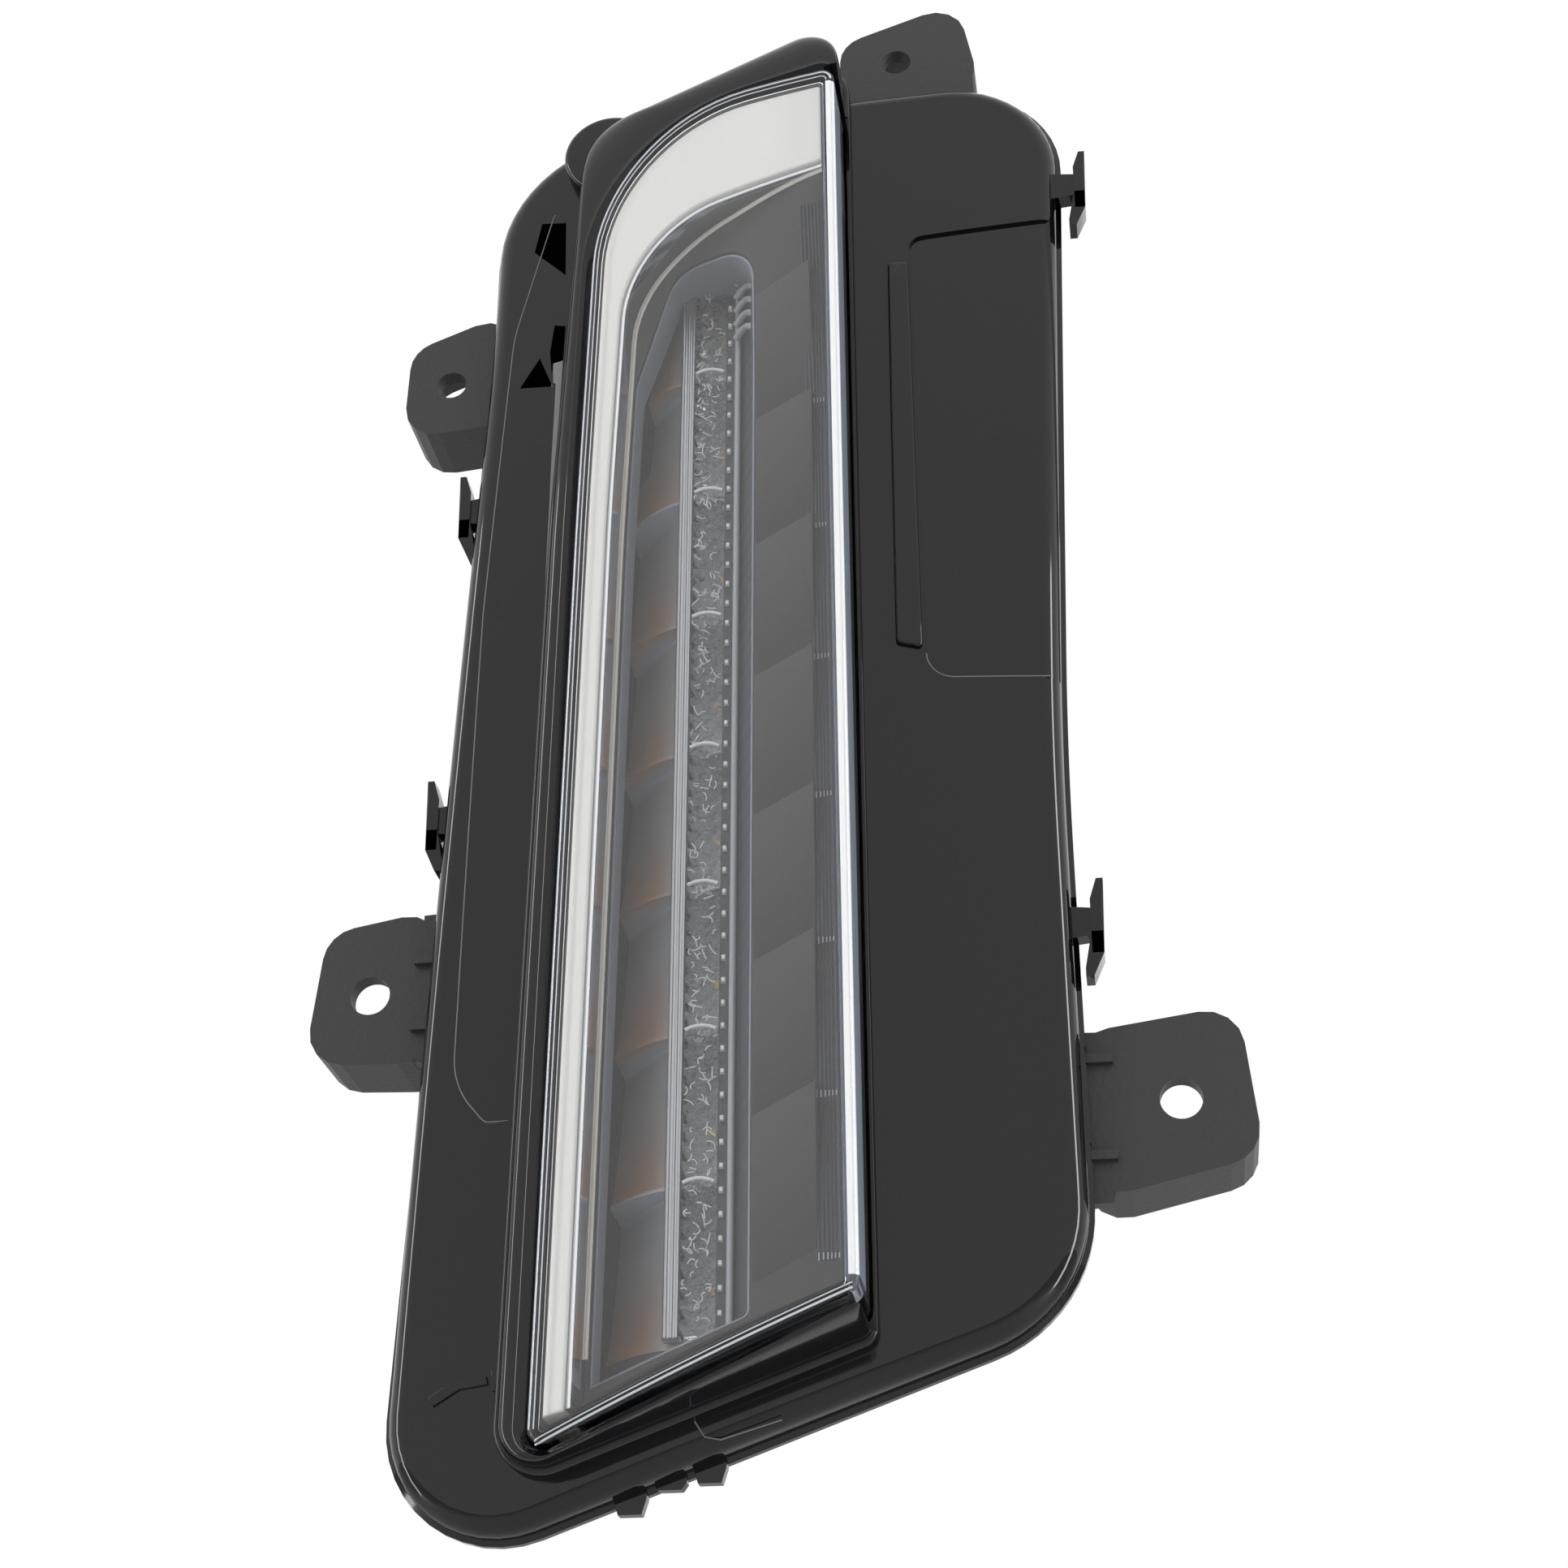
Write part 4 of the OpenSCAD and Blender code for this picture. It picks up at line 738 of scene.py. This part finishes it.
done(join(*creases()), material("crease_edge", (0.16, 0.165, 0.175), 0.3), 60)

# The rim's flank left of the lens, a lighter grey that is a painted reflection on its slope
FLANK_TOP, FLANK_LOW, FLANK_X = 96, -112, -43.3
flank_out = between((-45.6, FLANK_TOP), (-49.5, FLANK_LOW), 30)
flank_in = between((FLANK_X, FLANK_TOP), (-47.2, FLANK_LOW), 30)
flank = plate("rim_flank", band(flank_out, flank_in),
              lambda x, z: crown(x, z) - 0.35 + 0.25 * (FLANK_X - x), behind(crown, 2.0), 0.2, (1, 6))
done(flank, material("flank_painted_reflection", (0.17, 0.172, 0.176), 0.35), 40)

# Lens
LENS_FOOT_Y = 11.9
LENS_SPINE_LOW, LENS_SPINE_HIGH = -86, 122


def lens_side(outline, back, edge):
    """The rings of one side of the cover, from its foot to the middle of its face."""
    arc, straight = 14, 20
    rings = [ring(rounded(outline, arc, straight), LENS_FOOT_Y)]
    for t in quarter(5):
        p = rounded(grown(outline, -edge * (1 - math.cos(t))), arc, straight)
        rings.append(ring(p, face(p[:, 0], back) + edge * (1 - math.sin(t))))
    inner = rounded(grown(outline, -edge), arc, straight)
    spine_z = np.clip(inner[:, 1], LENS_SPINE_LOW, LENS_SPINE_HIGH)
    spine = np.stack([np.full(len(inner), FACE_MID_X), spine_z], 1)
    for t in np.linspace(0.08, 0.98, 10):
        p = inner + (spine - inner) * t
        rings.append(ring(p, face(p[:, 0], back)))
    return rings


def lens():
    """One loft: the inner side from its middle out to the foot, and the outer side back again."""
    inner, outer = lens_side(grown(LENS, -LENS_T), LENS_T, 0.7), lens_side(LENS, 0.0, 0.9)
    return loft("lens_cover", inner[::-1] + outer)


cover = done(lens(), CLEAR_COVER, 40)
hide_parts("outer_lens")

# White strip and bright trim. The strip's inner outline runs out past the lens at its right and
# at its bottom, where the strip is open.
TRIM = grown(LENS, -LENS_T - TRIM_GAP)
STRIP_Y, BRIGHT_Y = 2.6, 3.4
STRIP_W = 3.6
STRIP_TOP_W = 17.5
STRIP_IN = [
    [TRIM[0][0] + 4, TRIM[0][1] - 6, 2],
    [TRIM[1][0] + 4, TRIM[1][1] - STRIP_TOP_W, 2],
    [TRIM[2][0] + STRIP_W, TRIM[1][1] - 25.9, 24],
    [TRIM[3][0] + STRIP_W, TRIM[3][1], TRIM[3][2]],
    [TRIM[4][0] + STRIP_W, TRIM[4][1] - 6, 2]]
BRIGHT_IN = grown(STRIP_IN, [0, -1, -1, -1, 0])


def right_edge(z):
    """The right edge of the room inside the lens."""
    return edge_x(TRIM, z)


def run(outline, low, to_edge=True):
    """An outline's path from its upper right end round to its lower left end, down to low.

    With to_edge the path starts at the right edge of the room inside the lens, and without it at
    the outline's own upper right corner."""
    arc, straight = 16, 24
    p = rounded(outline, arc, straight)
    n = arc + straight
    path = p[n + arc if to_edge else n:4 * n + 1]
    path = path[path[:, 1] > low]
    if to_edge:
        path = path[path[:, 0] < right_edge(path[:, 1]) - 0.02]
        slope = (path[0, 1] - path[3, 1]) / (path[0, 0] - path[3, 0])
        x = right_edge(path[0, 1])
        path = np.vstack([[x, path[0, 1] + slope * (x - path[0, 0])], path])
    end = path[-1] + (path[-1] - path[-2]) * (path[-1, 1] - low) / (path[-2, 1] - path[-1, 1])
    return np.vstack([path, end])


strip_line = band(run(TRIM, -111, False), run(STRIP_IN, -110.4))
strip = plate("white_strip", strip_line, lens_behind(STRIP_Y), flat(CHANNEL_Y), 0.5, (2, 6))
done(strip, WHITE, 40, lens_behind(STRIP_Y))
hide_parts("accent_strip")

trim_line = band(run(grown(STRIP_IN, -0.05), -110), run(BRIGHT_IN, -110))
trim = plate("bright_band", trim_line, lens_behind(BRIGHT_Y), flat(CHANNEL_Y), 0.3, (2, 6))
done(trim, CHROME, 40)
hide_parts("bright_trim")

# Inner panel
PANEL_BACK = 11.6
PANEL_RISE = 8
BAND_X0, BAND_X1 = -9.0, -4.8
WINDOW_TOP = 113.0
WINDOW = [[BAND_X1, ROW_BOTTOM + 1.2, 2], [BAND_X1, WINDOW_TOP, 6.8], [-20.9, WINDOW_TOP, 7],
          [-29.5, 86, 14], [ROW_LEFT - 1, 62, 20], [ROW_LEFT - 1, ROW_BOTTOM - 8.5, 1]]


def ramp(value, low, high):
    """A smooth rise from 0 at low to 1 at high."""
    t = np.clip((value - low) / (high - low), 0, 1)
    return t * t * (3 - 2 * t)


def panel_depth(x, z):
    """The panel follows the lens face and comes up to the strip at its upper right."""
    return face(x, PANEL_BACK - PANEL_RISE * ramp(x, -24, 10) * ramp(z, 84, 132))


seam = run(grown(BRIGHT_IN, -0.25), -100)
bead = tube("seam_bead", ring(seam, panel_depth(seam[:, 0], seam[:, 1]) + 0.1), 0.38)
done(bead, material("bead_cream", (0.75, 0.71, 0.64), 0.2), 60)
seam = run(grown(BRIGHT_IN, 0.4), -109)
bead = tube("trim_line", ring(seam, face(seam[:, 0], BRIGHT_Y + 1)), 0.42)
done(bead, material("trim_silver", (0.6, 0.62, 0.65), 0.2), 60)


def clamped(points, limit):
    """Points moved to the nearest place inside a closed line, without those that then meet."""
    out = points.copy()
    off = ~inside(points, limit)
    a, b = limit, np.roll(limit, -1, 0)
    for i in np.where(off)[0]:
        t = np.clip(((points[i] - a) * (b - a)).sum(1) / np.maximum(((b - a) ** 2).sum(1), 1e-12), 0, 1)
        near = a + (b - a) * t[:, None]
        out[i] = near[np.argmin(((near - points[i]) ** 2).sum(1))]
    meet = 0.15
    keep = [0]
    for i in range(1, len(out)):
        if np.linalg.norm(out[i] - out[keep[-1]]) > meet:
            keep.append(i)
    if np.linalg.norm(out[keep[-1]] - out[0]) < meet:
        keep.pop()
    return out[keep]


window_line = clamped(rounded(WINDOW, 10, 30), rounded(grown(BRIGHT_IN, -0.8), 16, 24))


def inner_panel():
    left_part = run(BRIGHT_IN, -108)
    right_z = np.linspace(left_part[0, 1] - 0.5, TRIM[0][1] + 1.5, 40)
    right_part = np.stack([right_edge(right_z) - 0.05, right_z], 1)
    return plate("inner_panel", band(left_part, right_part), panel_depth, flat(10.2), 0.3, (2.5, 4),
                 [window_line])


# The panel's slanted tiles, each of which rises to a step over the next
TILE_SLANT = 0.48
TILE_W = 10.6
TILE_RISE = 2.4
TILE_LOW = ROW_BOTTOM + 6


def panel_tile(k):
    front, rear = [], []
    for v in np.linspace(0, 1, 9):
        xs = BAND_X1 + 0.5 + np.linspace(0, 1, 7) * TILE_W
        zs = TILE_LOW + PITCH * k + TILE_SLANT * (xs - BAND_X1) + v * (PITCH - 0.1)
        front.append([(x, float(panel_depth(x, z)) - 0.05 - TILE_RISE * v, z) for x, z in zip(xs, zs)])
        rear.append([(x, float(panel_depth(x, z)) + 0.6, z) for x, z in zip(xs, zs)])
    return relief("tile", front, rear)


# Painted shade: a tile's colour grows lighter from its lower edge up to its step, for the light on its
# slant
def painted_tile_shade(x, z):
    v = ((z + 0.03 - TILE_LOW - TILE_SLANT * (x - BAND_X1)) % PITCH) / PITCH
    return (0.028 + 0.045 * v, 0.028 + 0.045 * v, 0.03 + 0.046 * v)


panel = inner_panel()
tiles = [panel_tile(k) for k in range(CELLS - 1)]
done(panel, INNER, 20)
tile_piece = done(tint(join(*tiles), painted_tile_shade), tinted("tile_material_painted_shade", 0.34, 1.3), 20)
tile_piece.name = "panel_tiles"
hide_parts("inner_bezel")

# Fine upright ribs beside the lens wall, each with a short bright dash for each tile
RIBS = 6
RIB_X, RIB_PITCH, RIB_LEAN = 6.6, 0.72, 0.0083


def rib_x(i, z):
    return RIB_X + RIB_PITCH * i - RIB_LEAN * (z + 96)


ribs, dashes = [], []
for i in range(RIBS):
    path = [(rib_x(i, z), float(panel_depth(RIB_X + RIB_PITCH * i, z)) - 0.05, z)
            for z in np.linspace(-88, 117, 12)]
    ribs.append(tube("rib", path, 0.2, 8))
    for k in range(CELLS - 1):
        z = -5.7 + PITCH * (k - 3)
        centre = (rib_x(i, z), float(panel_depth(RIB_X + RIB_PITCH * i, z)) - 0.2, z)
        dashes.append(hull_boxes("dash", [(centre, (0.22, 0.3, 1.3 - 0.1 * i))]))
done(join(*ribs), INNER_BAND, 60)
done(join(*dashes), material("dash_grey", (0.42, 0.42, 0.44), 0.25), 60)

BAND_LOW_Y, BAND_BACK_Y = 7.6, 10.2
BAND_RIB, BAND_RIB_PITCH = 0.22, 3.95


def ribbed_band():
    """The ribbed band that slopes from the panel down to the light row."""
    y_top = float(face(BAND_X1, PANEL_BACK)) + 0.4
    front, rear = [], []
    for z in np.linspace(ROW_BOTTOM + 3, WINDOW_TOP + 3, 420):
        rib = BAND_RIB * abs(math.sin(math.pi * (z - ROW_BOTTOM) / BAND_RIB_PITCH)) ** 0.6
        us = np.linspace(0, 1, 8)
        xs = [BAND_X0 + (BAND_X1 - BAND_X0) * u for u in us]
        front.append([(x, BAND_LOW_Y + (y_top - BAND_LOW_Y) * u ** 1.15 - rib, z) for x, u in zip(xs, us)])
        rear.append([(x, BAND_BACK_Y, z) for x in xs])
    return relief("ribbed_band", front, rear)


done(ribbed_band(), INNER_BAND, 50)

liner = plate("window_liner", offset(window_line, -0.05), behind(panel_depth, 0.7), flat(9.6), 0.15, (6, 6),
              [offset(window_line, -0.5)])
done(liner, material("hem_grey", (0.24, 0.26, 0.30), 0.35), 40)

# Light row
BAR_X0, BAR_X1 = -20.9, -18.1
CELL_X0, CELL_X1 = -32.3, -6.9
CELL_DEEP = 29.5
CELL_FALL = 8.5
CELL_MID_X, CELL_HALF_W = -13.6, 6.8


def cell_left(x):
    """How far left of the optic's bar a place is, as a share of the cell there."""
    return np.clip((BAR_X0 - x) / (BAR_X0 - CELL_X0), 0, 1)


def cell_lip(x):
    """Depth of a lip's front edge, which falls back to the left of the optic."""
    return REFLECTOR_Y + 0.3 + CELL_FALL * cell_left(x) ** 1.5


def cell_top(x):
    """Depth of the scoop under the ceiling of its cell."""
    w = np.clip((x - CELL_MID_X) / CELL_HALF_W, -1, 1)
    left = cell_lip(x) + 2 + 7 * cell_left(x) ** 0.8
    return np.where(x < BAR_X0, left, cell_lip(x) + 2 + 6 * (1 - w * w))


def reflector():
    """The cells, one scoop above another, cut to the bright trim at the top and to the housing's
    sloping wall at the bottom."""
    xs = np.concatenate([np.linspace(CELL_X0, BAR_X0, 16), np.linspace(BAR_X0 + 0.4, CELL_X1, 30)])
    low, high = cell_lip(xs), cell_top(xs)
    zs, ys = [ROW_BOTTOM - 8.5, ROW_BOTTOM - 0.4], [low + 1.5, high]
    for k in range(CELLS):
        z0 = ROW_BOTTOM + PITCH * k
        zs += [z0, z0 + 0.7]
        ys += [low, low]
        for v in np.linspace(0, 1, 44):
            zs.append(z0 + 0.9 + v * (PITCH - 1.4))
            ys.append(low + 0.8 + (high - low - 0.8) * (1 - (1 - v) ** 1.6))
    zs += [ROW_TOP - 0.4, ROW_TOP - 0.1]
    ys += [low, low]
    front = [[(x, y, z) for x, y in zip(xs, row)] for row, z in zip(ys, zs)]
    rear = [[(x, CELL_DEEP, z) for x in xs] for z in zs]
    body = relief("reflector", front, rear)
    corner = slab("tool", np.array([[-40, 80], [-6, 80], [-6, 130], [-40, 130]], float), 0, 40)
    boolean(corner, slab("keep", rounded(grown(BRIGHT_IN, -0.6), 16, 8), -20, 60))
    wall = np.array([[-40, -130], [-6, -130], [-6, -98.7], [-40, -112.1]], float)
    return boolean(boolean(body, corner), slab("wall", wall, 0, 40))


# The reflector's grey coat, with a painted amber reflection of the LEDs and painted pale light under each
# cell's ceiling
CELL_GREY, CELL_PAINTED_AMBER_REFLECTION, CELL_PAINTED_PALE_LIGHT = (0.56, 0.57, 0.59), (0.50, 0.29, 0.18), (0.70, 0.76, 0.86)


def mixed(first, second, share):
    return [a + (b - a) * share for a, b in zip(first, second)]


def cell_grey_and_painted_light(x, z):
    """Grey under the optic with painted sparkle; left of it a painted amber reflection of the LEDs low in a
    cell and painted pale light at its ceiling.
    """
    v = ((z - ROW_BOTTOM) % PITCH) / PITCH
    if z > ROW_TOP - 1:
        v = 1
    if x > BAR_X1:
        # Painted sparkle: the grey under the optic speckled lighter and darker, for light through the
        # optic's texture
        painted_sparkle = abs(math.sin(2.1 * x + 1.9 * z) * math.sin(3.3 * x - 2.3 * z))
        return [g * (0.55 + 1.5 * painted_sparkle) for g in CELL_GREY]
    low = float((1 - ramp(v, 0.04, 0.72)) * (0.3 + 0.7 * float(ramp(-x, 20.5, 26))))
    top = float(ramp(v, 0.93, 0.985))
    return mixed(mixed(CELL_GREY, CELL_PAINTED_AMBER_REFLECTION, low), CELL_PAINTED_PALE_LIGHT, top)


cells = done(tint(reflector(), cell_grey_and_painted_light), tinted("cell_coat_painted_light", 0.35), 28)
cells.name = "reflector"
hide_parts("reflector")

# The optic, its bumps, and fine threads of painted highlight that stand for its sparkle
OPTIC_Y = REFLECTOR_Y - 2.4
BUMP = 0.34


def optic():
    """The clear bar, with bumps that fade from left to right."""
    xs = np.linspace(BAR_X1, OPTIC_RIGHT - 3.2, 34)
    u = (xs - BAR_X1) / (xs[-1] - BAR_X1)
    front, rear = [], []
    for z in np.arange(ROW_BOTTOM + 1.5, ROW_TOP - 1.5, 0.3):
        phase = 2 * math.pi * (z - ROW_BOTTOM) / (PITCH / 8)
        wave = np.sin(phase + 3.2 * np.sin(u * 5.5))
        wave += 0.6 * np.sin(2.3 * phase + 9 * u + 1.3 * np.sin(phase / 4))
        wave += 0.5 * np.sin(3.7 * phase - 13 * u + 2 * np.sin(phase / 3))
        bump = BUMP * wave * np.clip(1.25 - 1.0 * u, 0, 1)
        front.append([(x, OPTIC_Y - b, z) for x, b in zip(xs, bump)])
        rear.append([(x, REFLECTOR_Y, z) for x in xs])
    return relief("clear_optic", front, rear)


clear_bar = done(optic(), CLEAR_OPTIC, 60)
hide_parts("inner_optic")

THREADS = 34
rng = np.random.default_rng(7)


def thread():
    """A short bent thread of painted highlight at a random place on the optic."""
    x = BAR_X1 + 0.5 + rng.random() * 4.6
    z = ROW_BOTTOM + 3 + rng.random() * (ROW_TOP - ROW_BOTTOM - 8)
    turn, bend = rng.random() * math.pi, rng.random() * 3 - 1.5
    size = 0.5 + rng.random() * 0.7
    angle = turn + bend * np.linspace(-1, 1, 7)
    px, pz = np.cumsum(np.cos(angle)) * size / 3, np.cumsum(np.sin(angle)) * size / 3
    points = [(min(max(x + i, BAR_X1 + 0.2), -12.5), OPTIC_Y - 0.25, z + j)
              for i, j in zip(px - px.mean(), pz - pz.mean())]
    return tube("thread", points, 0.13, 6)


threads = [thread() for k in range(CELLS * THREADS)]
done(join(*threads), material("thread_painted_sparkle", (0.85, 0.85, 0.86), 0.3), 60)


def upright(name, x, y, low, high, r, sides):
    """A straight upright rod, from a place above the row's bottom to one under its top."""
    return tube(name, [(x, y, z) for z in np.linspace(ROW_BOTTOM + low, ROW_TOP - high, 3)], r, sides)


bar_line = np.array([[BAR_X1, ROW_BOTTOM + 1], [BAR_X1, ROW_TOP - 1],
                     [BAR_X0, ROW_TOP - 1], [BAR_X0, ROW_BOTTOM + 1]], float)
frame_bar = plate("optic_bar", bar_line, flat(7.6), flat(REFLECTOR_Y), 0.4, (4, 8))
ridges = [upright("ridge", BAR_X0 + dx, 7.5, 1.2, 1.2, 0.3, 8) for dx in (0.5, 1.5, 2.4)]
done(join(frame_bar, *ridges), COAT, 40)


def arc_line(z):
    """A painted highlight: a bright arc across the optic where two cells meet."""
    path = [(BAR_X1 + 0.3 + 5.4 * t, 7.1, z + 0.7 * (1 - (2 * t - 1) ** 2)) for t in np.linspace(0, 1, 12)]
    return tube("arc", path, 0.36, 8)


# The dots are painted highlights on the optic's serrations
DOT_X, DOT_PITCH = -11.4, 4.18


def dot(z):
    return hull_boxes("dot", [((DOT_X, 7.5, z), (0.55, 0.4, 0.7)), ((DOT_X, 7.9, z), (0.85, 0.4, 1.1))])


arcs = [arc_line(ROW_BOTTOM + PITCH * k) for k in range(1, CELLS)]
done(join(*arcs), PAINTED_HIGHLIGHT, 60)
dot_places = [ROW_BOTTOM + 5 + DOT_PITCH * k for k in range(50)]
dots = [dot(z) for z in dot_places if z < ROW_TOP - 9]
done(join(*dots), PAINTED_HIGHLIGHT, 40)
# Painted glints: yellow patches behind the optic, where the LED emitters show through it
glint_places = [ROW_BOTTOM + PITCH * k + 9 for k in range(CELLS)]
glints = [box("glint", (-13.5, 11.0, z), (-12.9, 12.0, z + 1.1)) for z in glint_places]
done(join(*glints), material("emitter_painted_glint", (0.9, 0.62, 0.08), 0.4), 40)
row_line = upright("row_line", -9.75, 7.2, 2, 1, 0.6, 12)
done(row_line, material("line_silver", (0.5, 0.52, 0.56), 0.3), 60)
ledge = box("dot_ledge", (-12.2, 8.2, ROW_BOTTOM + 1.5), (-9.4, 10.2, ROW_TOP - 1))
done(ledge, INNER_BAND, 40)


def shell(z):
    """One of the curved slats between the top of the row and the panel."""
    path = [(-9.9 + 4.6 * t, 5.6 - 4.6 * t, z + 1.6 * math.sin(math.pi * t) - 1.4 * t)
            for t in np.linspace(0, 1, 10)]
    return tube("shell", path, 0.75, 10)


shells = [shell(z) for z in (112.5, 109.3, 106.1, 102.9, 99.7)]
done(join(*shells), material("shell_silver", (0.42, 0.44, 0.48), 0.25), 60)

# Lines of light round the lens, as (inset, depth, radius)
LENS_LINES = ((0.7, 0.6, 0.16), (1.5, 0.9, 0.12))
lens_lines = []
for inset, depth, r in LENS_LINES:
    bottom = between((12.9, -96.3 + inset), (-38.2, -116.2 + inset), 24)
    for path in (run(grown(LENS, -inset), -113, False), bottom):
        lens_lines.append(tube("lens_line", on_surface(path, lens_behind(depth)), r, 8))
done(join(*lens_lines), material("edge_light", (0.66, 0.69, 0.74), 0.25), 60)


def edge_strip(name, x0, x1, y0, y1):
    """A bar inside the lens's right edge, between two distances from it and two depths."""
    front, rear = [], []
    for z in np.linspace(-93.5, 143, 60):
        edge = lens_right(z)
        top = float(face(edge - 1.2, 0))
        front.append([(edge + x0, top + y0, z), (edge + x1, top + y0, z)])
        rear.append([(edge + x0, top + y1, z), (edge + x1, top + y1, z)])
    return relief(name, front, rear)


# Inside the lens's clear right wall: a white line, a painted highlight of its edge, and a blue-grey bar, a
# painted reflection in the wall
edge_painted_reflection = material("edge_wall_painted_reflection", (0.24, 0.27, 0.32), 0.3)
done(edge_strip("lens_edge_line", -1.65, -0.8, 1.0, 1.9), PAINTED_HIGHLIGHT, 40)
done(edge_strip("lens_edge_wall", -1.7, -0.5, 1.9, 10.5), edge_painted_reflection, 40)

# Looks of the solids that are shown as they are
STEEL = material("zinc", (0.62, 0.62, 0.64), 0.32, metal=1.0)
BLACK_STEEL = material("black_zinc", (0.08, 0.08, 0.085), 0.35, metal=1.0)
RUBBER = material("rubber", (0.03, 0.03, 0.03), 0.7)
looks = {
    "rear_housing": HOUSING,
    "connector_socket": HOUSING,
    "vent_cap": HOUSING,
    "lens_sealant": RUBBER,
    "heat_sink_gasket": RUBBER,
    "led_board_screws": STEEL,
    "heat_sink_screws": STEEL,
    "bezel_screws": BLACK_STEEL,
    "inner_bezel_screws": BLACK_STEEL,
    "led_board": material("board_white", (0.8, 0.8, 0.77), 0.5),
    "led_packages": material("package", (0.88, 0.87, 0.84), 0.35),
    "led_emitters": material("phosphor", (0.9, 0.62, 0.08), 0.4),
    "thermal_pad": material("pad", (0.4, 0.45, 0.53), 0.8),
    "heat_sink": material("cast_aluminium", (0.6, 0.61, 0.63), 0.45, metal=1.0, grain=(1200, 0.4, 0.0001)),
    "driver_board": material("board_green", (0.03, 0.17, 0.07), 0.4),
    "driver_components": material("component", (0.03, 0.03, 0.035), 0.45),
    "board_link": material("flex", (0.55, 0.3, 0.06), 0.4),
    "connector_terminals": material("tin", (0.7, 0.68, 0.62), 0.3, metal=1.0),
    "connector_seal": material("silicone", (0.55, 0.16, 0.05), 0.6),
    "vent_membrane": material("membrane", (0.85, 0.85, 0.83), 0.9),
}
for name, look in looks.items():
    obj = nodes[name]
    if not obj.material_slots:
        obj.data.materials.append(look)
    for place in obj.material_slots:
        place.material = look


def white_world():
    """White where the camera, a reflection or a clear piece sees it, and half as strong as light."""
    world = bpy.data.worlds.new("studio")
    bpy.context.scene.world = world
    world.use_nodes = True
    tree = world.node_tree
    ground = tree.nodes["Background"]
    ground.inputs["Color"].default_value = (1, 1, 1, 1)
    path = tree.nodes.new("ShaderNodeLightPath")
    either = tree.nodes.new("ShaderNodeMath")
    either.operation = "MAXIMUM"
    seen = tree.nodes.new("ShaderNodeMath")
    seen.operation = "MAXIMUM"
    level = tree.nodes.new("ShaderNodeMath")
    level.operation = "MULTIPLY_ADD"
    level.inputs[1].default_value = 0.5
    level.inputs[2].default_value = 0.5
    tree.links.new(path.outputs["Is Camera Ray"], either.inputs[0])
    tree.links.new(path.outputs["Is Glossy Ray"], either.inputs[1])
    tree.links.new(either.outputs[0], seen.inputs[0])
    tree.links.new(path.outputs["Is Transmission Ray"], seen.inputs[1])
    tree.links.new(seen.outputs[0], level.inputs[0])
    tree.links.new(level.outputs[0], ground.inputs["Strength"])


# Where the lamps and the camera aim, in the part's frame and in metres
CENTRE = (-0.065, -0.012, 0.057)
TARGET = (-0.065, -0.0124, 0.057)
DISTANCE = 0.475


def lamp(name, place, size, power, reflected=False):
    """An area lamp that faces the part. A weak one isn't seen through the clear pieces."""
    data = bpy.data.lights.new(name, "AREA")
    data.shape, data.size, data.size_y, data.energy = "RECTANGLE", size[0], size[1], power
    obj = bpy.data.objects.new(name, data)
    obj.location = place
    obj.rotation_euler = (Vector(CENTRE) - Vector(place)).to_track_quat("-Z", "Y").to_euler()
    obj.visible_glossy = reflected
    obj.visible_transmission = power > 5
    bpy.context.scene.collection.objects.link(obj)


white_world()
lamp("key", (-0.75, -0.75, 0.75), (0.7, 0.7), 3.6)
lamp("fill", (0.8, -0.9, 0.1), (0.7, 0.7), 2.0)
lamp("right_edge", (0.85, -0.25, 0.0), (0.14, 1.3), 6.0, True)
lamp("left_edge", (-0.95, -0.3, 0.1), (0.1, 1.2), 3.0, True)

bpy.ops.mesh.primitive_plane_add(size=8, location=(0, 0, -0.4))
floor = bpy.context.object
floor.name = "floor"
floor.data.materials.append(material("floor_white", (0.9, 0.9, 0.9), 0.9))


def photo_camera():
    """The photo's view: 8 degrees from the right and 27 from below."""
    data = bpy.data.cameras.new("camera")
    data.lens, data.sensor_width, data.clip_start = 62.4, 36, 0.01
    camera = bpy.data.objects.new("camera", data)
    bpy.context.scene.collection.objects.link(camera)
    east, down = math.radians(8), math.radians(27)
    back = Vector((math.sin(east) * math.cos(down), -math.cos(east) * math.cos(down), -math.sin(down)))
    camera.location = Vector(TARGET) + back * DISTANCE
    camera.rotation_euler = (-back).to_track_quat("-Z", "Y").to_euler()
    bpy.context.scene.camera = camera


photo_camera()
bpy.context.scene.view_settings.view_transform = "Standard"
